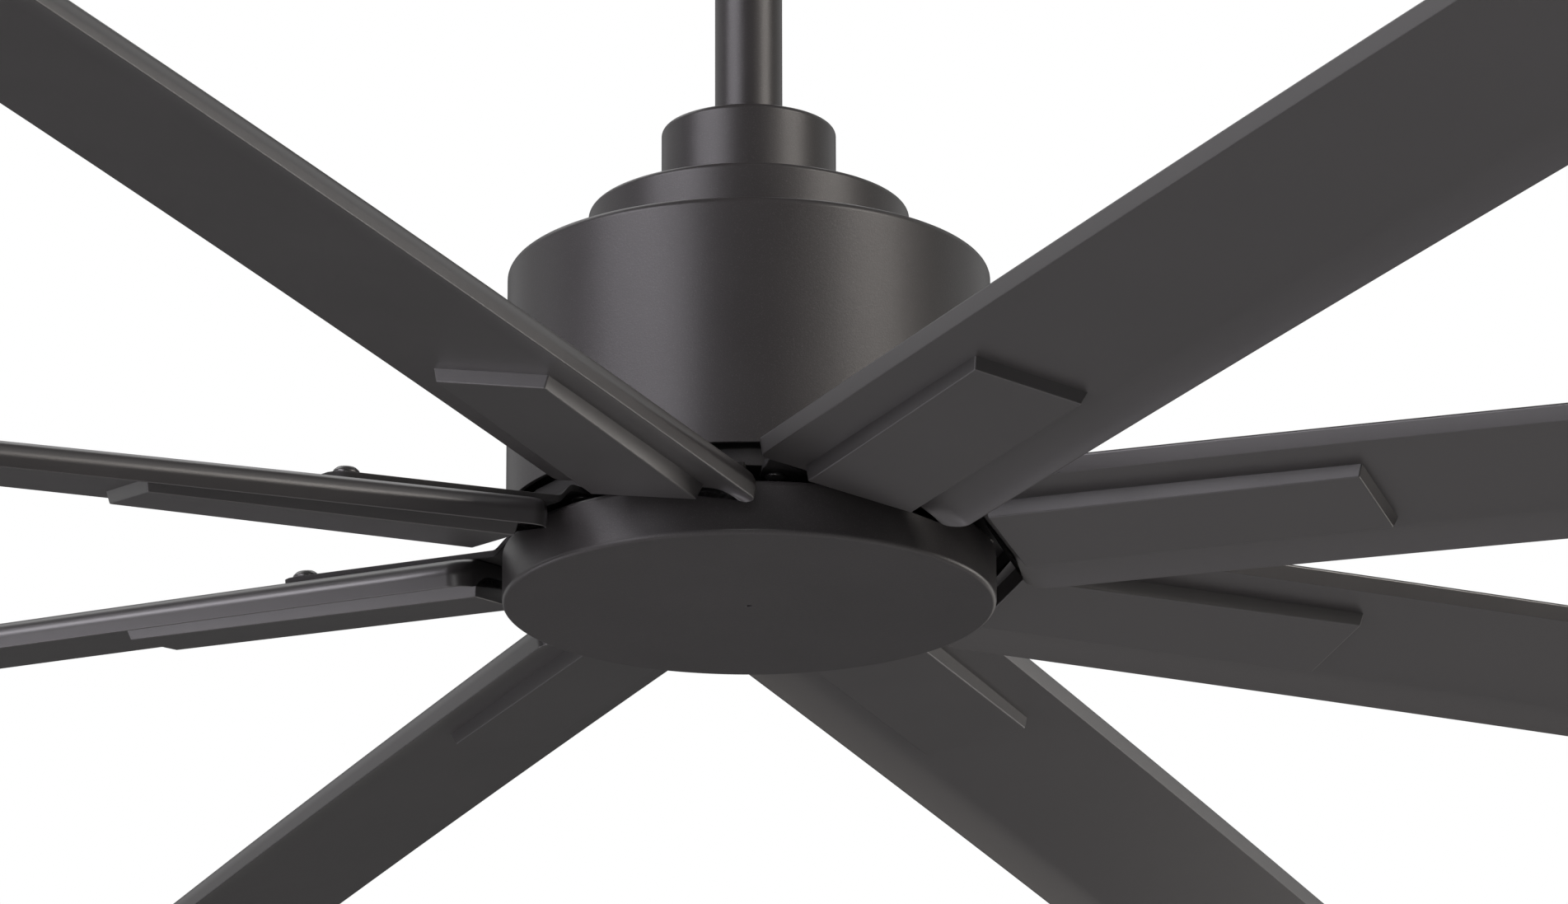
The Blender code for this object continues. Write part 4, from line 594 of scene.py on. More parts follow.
def flat_shaded(piece: bpy.types.Object) -> bpy.types.Mesh:
    """Copy a piece's mesh with normals that stay flat on large faces and turn only in its roundings.

    Args:
        piece: The piece.

    Returns:
        The mesh with its normals.
    """
    weighted = piece.modifiers.new("normals", "WEIGHTED_NORMAL")
    weighted.mode = "FACE_AREA"
    weighted.keep_sharp = True
    return evaluated(piece)


def finished(
    name: str,
    mesh: bpy.types.Mesh,
    body: Body,
    material: bpy.types.Material,
    replaces: Sequence[str] = (),
    sharp_deg: float = 32.0,
) -> bpy.types.Object:
    """Put a finished piece in the scene.

    Args:
        name: The piece's name.
        mesh: Its mesh, already in place.
        body: The body that it rides on.
        material: Its finish, which holds the record's slot.
        replaces: The CAD nodes that it stands for.
        sharp_deg: Edges sharper than this stay crisp.

    Returns:
        The piece.
    """
    mesh.materials.clear()
    mesh.materials.append(material)
    mesh.shade_smooth()
    mesh.set_sharp_from_angle(angle=math.radians(sharp_deg))
    piece = placed(name, mesh)
    piece.data = flat_shaded(piece)
    piece.modifiers.clear()
    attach(piece, body.value)
    if replaces:
        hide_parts(*replaces)
    LOG.info("%s rides on %s", name, body.value)
    return piece


def softened(node: bpy.types.Object, width: float, angle_deg: float = 38.0) -> bpy.types.Mesh:
    """Copy a CAD node's mesh with its doubles merged and its edges bevelled.

    Args:
        node: The CAD node.
        width: The bevel's width.
        angle_deg: Edges flatter than this stay as they are.

    Returns:
        The bevelled mesh.
    """
    mesh = node.data.copy()
    work = bmesh.new()
    work.from_mesh(mesh)
    bmesh.ops.remove_doubles(work, verts=work.verts, dist=CAD_MERGE_DISTANCE)
    flat = math.radians(CAD_FLAT_DEG)
    bmesh.ops.dissolve_limit(work, angle_limit=flat, verts=work.verts, edges=work.edges)
    work.to_mesh(mesh)
    work.free()
    return bevelled(node.name + "_softened", mesh, width, 2, angle_deg)


@dataclass
class ScrewTree:
    """Geometry Nodes that put one screw at each point of a mesh, turned by an attribute."""

    name: str = "screw_row"

    def build(self) -> bpy.types.NodeTree:
        """Build the tree with named inputs for the screw, its size and its finish.

        Returns:
            The tree.
        """
        tree = bpy.data.node_groups.new(self.name, "GeometryNodeTree")
        face = tree.interface
        face.new_socket("Geometry", in_out="INPUT", socket_type="NodeSocketGeometry")
        face.new_socket("Screw", in_out="INPUT", socket_type="NodeSocketObject")
        face.new_socket("Size", in_out="INPUT", socket_type="NodeSocketFloat")
        face.new_socket("Finish", in_out="INPUT", socket_type="NodeSocketMaterial")
        face.new_socket("Geometry", in_out="OUTPUT", socket_type="NodeSocketGeometry")
        start = tree.nodes.new("NodeGroupInput")
        end = tree.nodes.new("NodeGroupOutput")
        screw = tree.nodes.new("GeometryNodeObjectInfo")
        turn = tree.nodes.new("GeometryNodeInputNamedAttribute")
        turn.data_type = "FLOAT_VECTOR"
        turn.inputs["Name"].default_value = "turn"
        to_rotation = tree.nodes.new("FunctionNodeEulerToRotation")
        scatter = tree.nodes.new("GeometryNodeInstanceOnPoints")
        realise = tree.nodes.new("GeometryNodeRealizeInstances")
        dress = tree.nodes.new("GeometryNodeSetMaterial")
        link = tree.links.new
        link(start.outputs["Geometry"], scatter.inputs["Points"])
        link(start.outputs["Screw"], screw.inputs["Object"])
        link(screw.outputs["Geometry"], scatter.inputs["Instance"])
        link(turn.outputs["Attribute"], to_rotation.inputs["Euler"])
        link(to_rotation.outputs["Rotation"], scatter.inputs["Rotation"])
        link(start.outputs["Size"], scatter.inputs["Scale"])
        link(scatter.outputs["Instances"], realise.inputs["Geometry"])
        link(realise.outputs["Geometry"], dress.inputs["Geometry"])
        link(start.outputs["Finish"], dress.inputs["Material"])
        link(dress.outputs["Geometry"], end.inputs["Geometry"])
        return tree


@dataclass
class ScrewHeads:
    """Pan-head screws with a cross recess, set in rows.

    Attributes:
        head_radius: Radius of the head.
        head_height: Height of the head.
        recess_share: Share of the head's radius that each arm of the cross reaches.
        recess_foot_share: Share of that reach at the bottom of the recess.
        recess_width: Width of each arm of the cross.
        recess_depth: Depth of the cross.
        shank_radius: Radius of the shank.
        shank_length: Length of the shank.
    """

    head_radius: float = 0.0052
    head_height: float = 0.0034
    recess_share: float = 0.56
    recess_foot_share: float = 0.45
    recess_width: float = 0.0011
    recess_depth: float = 0.0017
    shank_radius: float = 0.0018
    shank_length: float = 0.0050

    def prototype(self) -> bpy.types.Object:
        """One screw at the origin, its head up.

        Returns:
            The screw, as an object in the scene.
        """
        r, h = self.head_radius, self.head_height
        corners = [
            (0.0, -self.shank_length, 0.0),
            (self.shank_radius, -self.shank_length, 0.0003),
            (self.shank_radius, 0.0, 0.0),
            (r, 0.0, 0.0002),
            (r, 0.38 * h, 0.0012),
            (0.62 * r, 0.88 * h, 0.003),
            (0.0, h, 0.0),
        ]
        outline = rounded(corners, 4, closed=False)
        screw = placed("screw_prototype", turned("screw", outline, SCREW_SEGMENTS))
        for turn in (0.0, 90.0):
            self._cut_arm(screw, turn)
        mesh = evaluated(screw)
        cutters = [modifier.object for modifier in screw.modifiers]
        screw.modifiers.clear()
        screw.data = mesh
        for cutter in cutters:
            bpy.data.objects.remove(cutter)
        return screw

    def _cut_arm(self, screw: bpy.types.Object, turn_deg: float) -> None:
        """Cut one arm of the cross recess.

        Args:
            screw: The screw.
            turn_deg: The arm's turn about the screw's axis.
        """
        reach = self.recess_share * self.head_radius
        half = self.recess_width / 2
        low, high = self.head_height - self.recess_depth, self.head_height + 0.001
        points = []
        for z, share in ((low, self.recess_foot_share), (high, 1.0)):
            points += [(-reach * share, -half, z), (reach * share, -half, z)]
            points += [(reach * share, half, z), (-reach * share, half, z)]
        cutter = placed("recess", mesh_of("recess", points, BLOCK_FACES))
        cutter.rotation_euler = (0.0, 0.0, math.radians(turn_deg))
        cut = screw.modifiers.new("recess", "BOOLEAN")
        cut.operation = "DIFFERENCE"
        cut.solver = "EXACT"
        cut.object = cutter

    def row(
        self,
        name: str,
        places: Sequence[Matrix],
        body: Body,
        material: bpy.types.Material,
        replaces: Sequence[str] = (),
    ) -> bpy.types.Object:
        """Set a screw at each place.

        Args:
            name: The piece's name.
            places: Where each head's underside sits, its axis along local Z.
            body: The body that they ride on.
            material: Their finish.
            replaces: The CAD nodes that they stand for.

        Returns:
            The piece.
        """
        prototype = self.prototype()
        points = bpy.data.meshes.new(name + "_points")
        points.from_pydata([tuple(place.translation) for place in places], [], [])
        turn = points.attributes.new("turn", "FLOAT_VECTOR", "POINT")
        for entry, place in zip(turn.data, places):
            entry.vector = tuple(place.to_euler())
        holder = placed(name + "_points", points)
        tree = ScrewTree().build()
        modifier = holder.modifiers.new("screws", "NODES")
        modifier.node_group = tree
        values = {"Screw": prototype, "Size": 1.0, "Finish": material}
        for item in tree.interface.items_tree:
            if item.in_out == "INPUT" and item.name in values:
                modifier[item.identifier] = values[item.name]
        mesh = evaluated(holder)
        bpy.data.objects.remove(holder)
        bpy.data.objects.remove(prototype)
        return finished(name, mesh, body, material, replaces)


@dataclass
class Levels:
    """Heights below the ceiling plane, in metres."""

    canopy_rim: float = -0.0005
    canopy_face: float = -0.0660
    rod_top: float = -0.0260
    rod_bottom: float = -0.22922
    cover_top: float = -0.18132
    cover_rim: float = -0.21622
    top_cover_top: float = -0.21652
    top_cover_rim: float = -0.24152
    housing_top: float = -0.24182
    housing_rim: float = -0.34262
    cap_rim: float = -0.35822
    cap_face: float = -0.37982
    blade_hub: float = -0.35831


@dataclass(frozen=True)
class Cup:
    """A round sheet-metal cup.

    Attributes:
        radius: Outer radius.
        wall: Thickness.
        fillet: Outer rounding between wall and face.
        hole: Radius of the hole in the face.
        rim_edge: Rounding of the rim's edges.
        hole_edge: Outer rounding of the hole.
        inner_edge: Least rounding inside.
    """

    radius: float
    wall: float
    fillet: float
    hole: float
    rim_edge: float = 0.0004
    hole_edge: float = 0.0005
    inner_edge: float = 0.0003

    def outline(self, rim: float, face: float) -> list[Point]:
        """Outline of the cup.

        Args:
            rim: Height of the open rim.
            face: Height of the closed face.

        Returns:
            The closed outline.
        """
        inner = self.radius - self.wall
        back = face - self.wall if face > rim else face + self.wall
        corners = [
            (self.radius, rim, self.rim_edge),
            (self.radius, face, self.fillet),
            (self.hole, face, self.hole_edge),
            (self.hole, back, self.inner_edge),
            (inner, back, max(self.fillet - self.wall, self.inner_edge)),
            (inner, rim, self.rim_edge),
        ]
        return rounded(corners, 8)


@dataclass
class Shells:
    """The turned outer shells: canopy, downrod, covers, housing and bottom cap, and a black ring that fills
    the gap under the housing as painted shade.

    Attributes:
        levels: The fan's heights.
        canopy: The canopy.
        cover: The coupling cover.
        top_cover: The stepped top cover.
        housing: The motor housing.
        rod_radius: Outer radius of the downrod.
        rod_bore: Inner radius of the downrod.
        cap_radius: Outer radius of the bottom cap.
        cap_wall: Its thickness.
        cap_edge: Rounding of its lower edge.
        cap_shoulder: Rounding of its shoulder, which is rolled in as far.
        cap_hole_radius: Radius of the hole in its middle.
        shade_ring_inset: How far the black ring stands inside the cap's radius.
        shade_ring_wall: Thickness of that ring.
        shade_ring_depth: How far it reaches below the cap's rim.
        shade_ring_height: How far it reaches above the cap's rim.
    """

    levels: Levels
    canopy: Cup = Cup(0.070, 0.0015, 0.008, 0.026)
    cover: Cup = Cup(0.0349, 0.0016, 0.0026, 0.0143)
    top_cover: Cup = Cup(0.0640, 0.0016, 0.0024, 0.0242)
    housing: Cup = Cup(0.0961, 0.0018, 0.0034, 0.012)
    rod_radius: float = 0.0135
    rod_bore: float = 0.0104
    cap_radius: float = 0.0974
    cap_wall: float = 0.0020
    cap_edge: float = 0.0019
    cap_shoulder: float = 0.0048
    cap_hole_radius: float = 0.0011
    shade_ring_inset: float = 0.0168
    shade_ring_wall: float = 0.0018
    shade_ring_depth: float = 0.0064
    shade_ring_height: float = 0.0032

    def build(self, materials: dict[str, bpy.types.Material]) -> None:
        """Build all the shells.

        Args:
            materials: The finishes by name.
        """
        bronze = materials["powder_bronze"]
        level = self.levels
        canopy = self.canopy.outline(level.canopy_rim, level.canopy_face)
        finished("canopy_shell", turned("canopy", canopy), Body.CEILING, bronze, ["canopy"])
        cover = self.cover.outline(level.cover_rim, level.cover_top)
        finished("coupling_cover_shell", turned("cover", cover), Body.FAN, bronze, ["coupling_cover"])
        tier = self.top_cover.outline(level.top_cover_rim, level.top_cover_top)
        finished("top_cover_shell", turned("tier", tier), Body.FAN, bronze, ["housing_top_cover"])
        drum = self.housing.outline(level.housing_rim, level.housing_top)
        finished("housing_shell", turned("drum", drum, WIDE_SEGMENTS), Body.FAN, bronze, ["motor_housing"])
        cap = turned("cap", self._cap(), WIDE_SEGMENTS)
        finished("bottom_cap_shell", cap, Body.FAN, bronze, ["bottom_cap"])
        # A black ring in the gap between housing and cap: a dark sheet that paints the shade there.
        seal = turned("seal", self._gap_shade_outline(), WIDE_SEGMENTS)
        finished("cap_seal_ring", seal, Body.FAN, materials["ball_nylon"])
        self._build_rod(bronze)

    def _cap(self) -> list[Point]:
        """Outline of the bottom cap, its shoulder rolled in at the rim.

        Returns:
            The closed outline.
        """
        radius, wall, shoulder = self.cap_radius, self.cap_wall, self.cap_shoulder
        hole, face, rim = self.cap_hole_radius, self.levels.cap_face, self.levels.cap_rim
        corners = [
            (hole, face, 0.0004),
            (radius, face, self.cap_edge),
            (radius, rim, shoulder),
            (radius - shoulder, rim, 0.0),
            (radius - shoulder, rim - wall, 0.0),
            (radius - wall, rim - wall, 0.0026),
            (radius - wall, face + wall, 0.0006),
            (hole, face + wall, 0.0002),
        ]
        return rounded(corners, 8)

    def _gap_shade_outline(self) -> list[Point]:
        """Outline of the black ring that stands on the cap plate, inside the iron screws, and fills the gap
        with painted shade.

        Returns:
            The closed outline.
        """
        outer, wall = self.cap_radius - self.shade_ring_inset, self.shade_ring_wall
        low, top = self.levels.cap_rim - self.shade_ring_depth, self.levels.cap_rim + self.shade_ring_height
        corners = [
            (outer - wall, low, 0.0003),
            (outer, low, 0.0003),
            (outer, top, 0.0005),
            (outer - wall, top, 0.0005),
        ]
        return rounded(corners)

    def _build_rod(self, bronze: bpy.types.Material) -> None:
        """Downrod, a tube with eased ends.

        Args:
            bronze: Its finish.
        """
        level = self.levels
        corners = [
            (self.rod_bore, level.rod_bottom, 0.0004),
            (self.rod_radius, level.rod_bottom, 0.0006),
            (self.rod_radius, level.rod_top, 0.0006),
            (self.rod_bore, level.rod_top, 0.0004),
        ]
        rod = turned("rod", rounded(corners), ROD_SEGMENTS)
        finished("downrod_tube", rod, Body.FAN, bronze, ["downrod"])


@dataclass
class Blades:
    """The moulded blades.

    Attributes:
        levels: The fan's heights.
        count: Number of blades.
        first_deg: Angle of the first blade.
        pitch_deg: Pitch at the root.
        twist_deg: How much more it is at the tip.
        droop_deg: Droop at the root.
        sag: How it grows outwards, per metre.
        root: Radius of the root end.
        tip: Radius of the tip.
        thickness: Thickness of the web.
        high_root: Reach of the high edge's lower corner at the root.
        high_tip: Reach of the high edge's lower corner at the tip.
        high_lean: How far its upper corner leans out.
        low_root: Reach of the low edge at the root.
        low_tip: Reach of the low edge at the tip.
        nose_root: Depth of the nose below the web at the root.
        nose_tip: Depth of the nose below the web at the tip.
        nose_run: Width of its hollow inner side.
        nose_lip: How far its lowest line lies inside the low edge's reach.
        nose_back: The nose's outer side: each corner's way inside that reach, its height and rounding.
        low_shoulder: How far the web's upper face ends inside that reach.
        root_corners: Roundings of the root end's corners, at the high and the low edge.
        tip_corners: The same at the tip.
        edge: Rounding of the end faces.
        pad_ends: Radii of the clamping pad's two ends.
        pad_heights: Heights of the pad at those ends.
        pad_run: Run of its sloped walls.
        pad_high: Reach of the pad towards the high edge.
        pad_low: Reach of the pad towards the low edge.
        pad_sunk: How far the pad goes into the web.
        pad_edge: Rounding of its edges.
    """

    levels: Levels
    count: int = 8
    first_deg: float = -65.9
    pitch_deg: float = 9.44
    twist_deg: float = 3.4
    droop_deg: float = 0.83
    sag: float = 0.0163
    root: float = 0.102
    tip: float = 0.8255
    thickness: float = 0.0066
    high_root: float = 0.0410
    high_tip: float = 0.0427
    high_lean: float = 0.0025
    low_root: float = 0.0482
    low_tip: float = 0.0468
    nose_root: float = 0.0053
    nose_tip: float = 0.0026
    nose_run: float = 0.0174
    nose_lip: float = 0.0021
    nose_back: tuple[Corner, ...] = ((0.0019, 0.0011, 0.0050), (0.0041, 0.0051, 0.0080))
    low_shoulder: float = 0.0084
    root_corners: Point = (0.004, 0.009)
    tip_corners: Point = (0.010, 0.010)
    edge: float = 0.0007
    pad_ends: Point = (0.1070, 0.2606)
    pad_heights: Point = (0.0064, 0.0049)
    pad_run: float = 0.0014
    pad_high: float = 0.0236
    pad_low: float = 0.0234
    pad_sunk: float = 0.0030
    pad_edge: float = 0.0005

    def frame(self) -> Matrix:
        """Frame of an unturned blade.

        Returns:
            The frame: X outwards, Y across to the low edge, Z up.
        """
        droop = Matrix.Rotation(math.radians(self.droop_deg), 4, "Y")
        pitch = Matrix.Rotation(math.radians(-self.pitch_deg), 4, "X")
        return Matrix.Translation((0.0, 0.0, self.levels.blade_hub)) @ droop @ pitch

    def turns(self) -> list[Matrix]:
        """Turn of each blade about the fan's axis.

        Returns:
            One turn for each blade.
        """
        step = 360.0 / self.count
        angles = [math.radians(self.first_deg + step * index) for index in range(self.count)]
        return [Matrix.Rotation(angle, 4, "Z") for angle in angles]

    def section(self, x: float, high_inset: float, low_inset: float, shrink: float) -> list[tuple]:
        """Cross-section of the blade.

        Args:
            x: Distance from the fan's axis.
            high_inset: How far the high edge is drawn in here.
            low_inset: How far the low edge is drawn in here.
            shrink: How far the whole section is drawn in.

        Returns:
            The section's points.
        """
        share = (x - self.root) / (self.tip - self.root)
        low = self.low_root + (self.low_tip - self.low_root) * share - low_inset
        high = self.high_root + (self.high_tip - self.high_root) * share - high_inset
        drop = self.nose_root + (self.nose_tip - self.nose_root) * share
        bend = (self.nose_run ** 2 + drop ** 2) / (2 * drop)
        hollow = []
        for step in range(9):
            run = self.nose_run * step / 9
            fall = bend - math.sqrt(bend ** 2 - run ** 2)
            hollow.append((low - self.nose_lip - self.nose_run + run, -fall, 0.0))
        corners = [
            (-high - self.high_lean - 0.0002, self.thickness + 0.0003, 0.0011),
            (-high, 0.0, 0.0004),
            *hollow,
            (low - self.nose_lip, -drop, 0.0005),
            *((low - inside, height, rounding) for inside, height, rounding in self.nose_back),
            (low - self.low_shoulder, self.thickness, 0.0008),
        ]
        outline = rounded(corners, 4)
        if shrink > 0:
            outline = self._drawn_in(outline, shrink)
        return [(x, y, z) for y, z in outline]

    @staticmethod
    def _drawn_in(outline: Sequence[Point], amount: float) -> list[Point]:
        """Move each point of an outline inwards by an amount.

        Args:
            outline: The closed outline.
            amount: How far.

        Returns:
            The smaller outline.
        """
        count = len(outline)
        area = sum(
            outline[i][0] * outline[(i + 1) % count][1] - outline[(i + 1) % count][0] * outline[i][1]
            for i in range(count)
        )
        side = 1.0 if area > 0 else -1.0
        result = []
        for index, (x, y) in enumerate(outline):
            before = Vector(outline[index - 1])
            after = Vector(outline[(index + 1) % count])
            along = (after - before).normalized()
            result.append((x - side * along.y * amount, y + side * along.x * amount))
        return result

    def _stations(self) -> list[tuple[float, float, float, float]]:
        """Rows of (x, high inset, low inset, shrink) from root to tip.

        Returns:
            The rows.
        """
        rows = []
        for end, inward, (high_round, low_round) in (
            (self.root, 1.0, self.root_corners),
            (self.tip, -1.0, self.tip_corners),
        ):
            ease = [self.edge * (1 - math.cos(math.radians(angle))) for angle in (0, 25, 50, 70, 90)]
            corner = [low_round * (1 - math.cos(math.radians(angle))) for angle in range(30, 91, 10)]
            near = sorted(set(ease + [distance for distance in corner if distance > self.edge]))
            rows.append(
                [
                    (
                        end + inward * distance,
                        self._inset(distance, high_round),
                        self._inset(distance, low_round),
                        self._inset(distance, self.edge),
                    )
                    for distance in near
                ]
            )
        middle_start, middle_end = rows[0][-1][0], rows[1][-1][0]
        middle = [middle_start + (middle_end - middle_start) * step / 14 for step in range(1, 14)]
        return rows[0] + [(x, 0.0, 0.0, 0.0) for x in middle] + rows[1][::-1]

    @staticmethod
    def _inset(distance: float, radius: float) -> float:
        """How far a rounded corner is drawn in at a distance from the end.

        Args:
            distance: Distance from the end.
            radius: The corner's radius.

        Returns:
            The inset.
        """
        if distance >= radius:
            return 0.0
        return radius - math.sqrt(radius ** 2 - (radius - distance) ** 2)

    def _pad(self) -> bpy.types.Mesh:
        """Clamping pad: a low block with sloped walls and eased edges.

        Returns:
            The pad in the blade's frame.
        """
        inner, outer = self.pad_ends
        deep_inner, deep_outer = self.pad_heights
        rise, run = self.pad_sunk, self.pad_run
        grow = run * rise / deep_inner
        points = [
            (inner + run, -self.pad_high + run, -deep_inner),
            (outer - run, -self.pad_high + run, -deep_outer),
            (outer - run, self.pad_low - run, -deep_outer),
            (inner + run, self.pad_low - run, -deep_inner),
            (inner - grow, -self.pad_high - grow, rise),
            (outer + grow, -self.pad_high - grow, rise),
            (outer + grow, self.pad_low + grow, rise),
            (inner - grow, self.pad_low + grow, rise),
        ]
        return bevelled("pad_block", mesh_of("pad", points, BLOCK_FACES), self.pad_edge, 3, 30.0)

    def mesh(self) -> bpy.types.Mesh:
        """One blade in its own frame.

        Returns:
            The blade with its pad.
        """
        sections = [self.section(*row) for row in self._stations()]
        work = bmesh.new()
        work.from_mesh(lofted("blade", sections))
        work.from_mesh(self._pad())
        for vertex in work.verts:
            vertex.co = self._bent(vertex.co)
        mesh = bpy.data.meshes.new("blade")
        work.to_mesh(mesh)
        work.free()
        return mesh

    def _bent(self, point: Vector) -> Vector:
        """Where the blade's twist and sag bring a point of the straight blade.

        Args:
            point: The point, in the blade's frame.

        Returns:
            Its new place.
        """
        out = point.x - self.root
        lean = Matrix.Rotation(math.radians(-self.twist_deg * out / (self.tip - self.root)), 3, "X")
        return lean @ point - Vector((0.0, 0.0, self.sag * out ** 2))

    def build(self, materials: dict[str, bpy.types.Material]) -> None:
        """Build all the blades.

        Args:
            materials: The finishes by name.
        """
        pattern = self.mesh()
        for number, turn in enumerate(self.turns(), start=1):
            mesh = pattern.copy()
            mesh.transform(turn @ self.frame())
            name = f"blade_moulding_{number}"
            finished(name, mesh, Body.ROTOR, materials["blade_bronze"], [f"blade_{number}"])


@dataclass
class Irons:
    """The blade irons and their screws.

    Attributes:
        blades: The blades that they hold.
        metal: Thickness of the plate.
        gap: Gap between the plate and the blade.
        half_width: Half the width of the plate.
        flange_half_width: Half the width of the inner end.
        inner: Radius of the inner end.
        bend_start: Radius where the flange starts to twist.
        bend_end: Radius where it lies on the blade.
        outer: Radius of the outer end.
        corner: Rounding of the outer corners.
        edge: Rounding of the plate's edges.
        blade_screws: Places of the screws that hold the blade, along and across it.
        rotor_screw: Place of one screw that holds the iron; the other is its mirror image.
    """

    blades: Blades
    metal: float = 0.0027
    gap: float = 0.0003
    half_width: float = 0.033
    flange_half_width: float = 0.030
    inner: float = 0.078
    bend_start: float = 0.089
    bend_end: float = 0.0955
    outer: float = 0.188
    corner: float = 0.008
    edge: float = 0.0004
    blade_screws: tuple[Point, ...] = ((0.180, -0.024), (0.180, 0.024), (0.125, 0.0))
    rotor_screw: Point = (0.082, 0.025)

    def flange_z(self) -> float:
        """Height of the flange's underside."""
        return (self.blades.frame() @ Vector((self.bend_end, 0.0, self.blades.thickness + self.gap))).z

    def _section(self, x: float, half: float, share: float) -> list[Vector]:
        """Section of the plate.

        Args:
            x: Distance from the fan's axis.
            half: Half its width.
            share: 0 flat on the rotor, 1 lying on the blade.

        Returns:
            The section's points.
        """
        under = self.blades.thickness + self.gap
        over = under + self.metal
        ends = ((-half, under), (half, under), (half, over), (-half, over))
        outline = rounded([(y, z, self.edge) for y, z in ends], 2)
        points = []
        for y, z in outline:
            pitched = self.blades.frame() @ Vector((x, y, z))
            flat = Vector((x, y, z - under + self.flange_z()))
            points.append(flat.lerp(pitched, share))
        return points

    def mesh(self) -> bpy.types.Mesh:
        """One iron, unturned.

        Returns:
            The iron's mesh.
        """
        rows = [(self.inner, self.flange_half_width, 0.0), (self.bend_start, self.half_width, 0.0)]
        bend_rows = 8
        for step in range(1, bend_rows):
            part = step / bend_rows
            x = self.bend_start + (self.bend_end - self.bend_start) * part
            rows.append((x, self.half_width, part * part * (3 - 2 * part)))
        rows.append((self.bend_end, self.half_width, 1.0))
        for angle in (0, 30, 60, 90):
            turn = math.radians(angle)
            x = self.outer - self.corner + self.corner * math.sin(turn)
            rows.append((x, self.half_width - self.corner * (1 - math.cos(turn)), 1.0))
        return lofted("iron", [self._section(*row) for row in rows])

    def blade_screw_places(self) -> list[Matrix]:
        """Seats of the screws that hold the blades, each recess turned its own way.

        Returns:
            Where each head's underside sits.
        """
        seat = self.blades.thickness + self.gap + self.metal
        places = []
        for number, turn in enumerate(self.blades.turns()):
            for index, (x, y) in enumerate(self.blade_screws):
                twist = Matrix.Rotation(math.radians(37.0 * number + 61.0 * index), 4, "Z")
                places.append(turn @ self.blades.frame() @ Matrix.Translation((x, y, seat)) @ twist)
        return places

    def iron_screw_places(self) -> list[Matrix]:
        """Seats of the screws that hold the irons, each recess turned its own way.

        Returns:
            Where each head's underside sits.
        """
        flip = Matrix.Rotation(math.pi, 4, "X")
        along, across = self.rotor_screw
        places = []
        for number, turn in enumerate(self.blades.turns()):
            for index, side in enumerate((-1.0, 1.0)):
                twist = Matrix.Rotation(math.radians(29.0 * number + 53.0 * index), 4, "Z")
                spot = Matrix.Translation((along, side * across, self.flange_z()))
                places.append(turn @ spot @ flip @ twist)
        return places

    def build(self, materials: dict[str, bpy.types.Material]) -> None:
        """Build the irons and their screws.

        Args:
            materials: The finishes by name.
        """
        pattern = self.mesh()
        for number, turn in enumerate(self.blades.turns(), start=1):
            mesh = pattern.copy()
            mesh.transform(turn)
            name = f"iron_plate_{number}"
            # The irons take the darker bronze: painted shade of the gap that they sit in.
            finished(name, mesh, Body.ROTOR, materials["dull_bronze"], [f"blade_iron_{number}"])
        black = materials["screw_black"]
        ScrewHeads().row("blade_screw_heads", self.blade_screw_places(), Body.ROTOR, black)
        small = ScrewHeads(head_radius=0.0040, head_height=0.0024, recess_depth=0.0013)
        small.row("iron_screw_heads", self.iron_screw_places(), Body.ROTOR, black)


@dataclass
class Hardware:
    """The pieces that keep their CAD shape, with eased edges or only a finish; those in the gap take a
    darker bronze, painted shade.

    Attributes:
        eased: CAD nodes that are seen, with the width of their edge rounding.
        in_shaded_gap: Those that sit in the dark gap.
    """

    eased: dict[str, float]
    # Nodes that take the darker bronze as painted shade of the gap.
    in_shaded_gap: tuple[str, ...] = ("rotor_lower_shell",)

    def build(self, frame: dict, materials: dict[str, bpy.types.Material]) -> None:
        """Ease the edges of the seen nodes and dress the rest.

        Args:
            frame: The loaded model.
            materials: The finishes by slot.
        """
        slots = {entry["node"]: entry["material_slot"] for entry in frame["record"]["subparts"]}
        members = frame["record"]["behaviour"]["bodies"]
        bodies = {node: Body(name) for name, nodes in members.items() for node in nodes}
        for name, node in frame["nodes"].items():
            # Nodes in the gap take the darker bronze, painted shade; the rest keep their slot's finish.
            material = materials["dull_bronze" if name in self.in_shaded_gap else slots[name]]
            if name in self.eased:
                mesh = softened(node, self.eased[name])
                finished(name + "_eased", mesh, bodies[name], material, [name], 34.0)
                continue
            for index in range(len(node.material_slots)):
                node.material_slots[index].material = material

    @classmethod
    def seen(cls) -> Hardware:
        """The nodes that show from some side.

        Returns:
            The hardware with the width of each node's rounding.
        """
        return cls(
            {
                "ceiling_bracket": 0.0004,
                "hanger_ball": 0.0004,
                "ball_cross_pin": 0.0005,
                "cap_plate": 0.0003,
                "rotor_lower_shell": 0.0004,
                "shaft_nut": 0.0004,
                "motor_yoke": 0.0004,
                "clevis_pin": 0.0004,
            }
        )


COOL: Colour = (0.97, 0.93, 1.0)
WARM: Colour = (1.0, 0.94, 0.89)


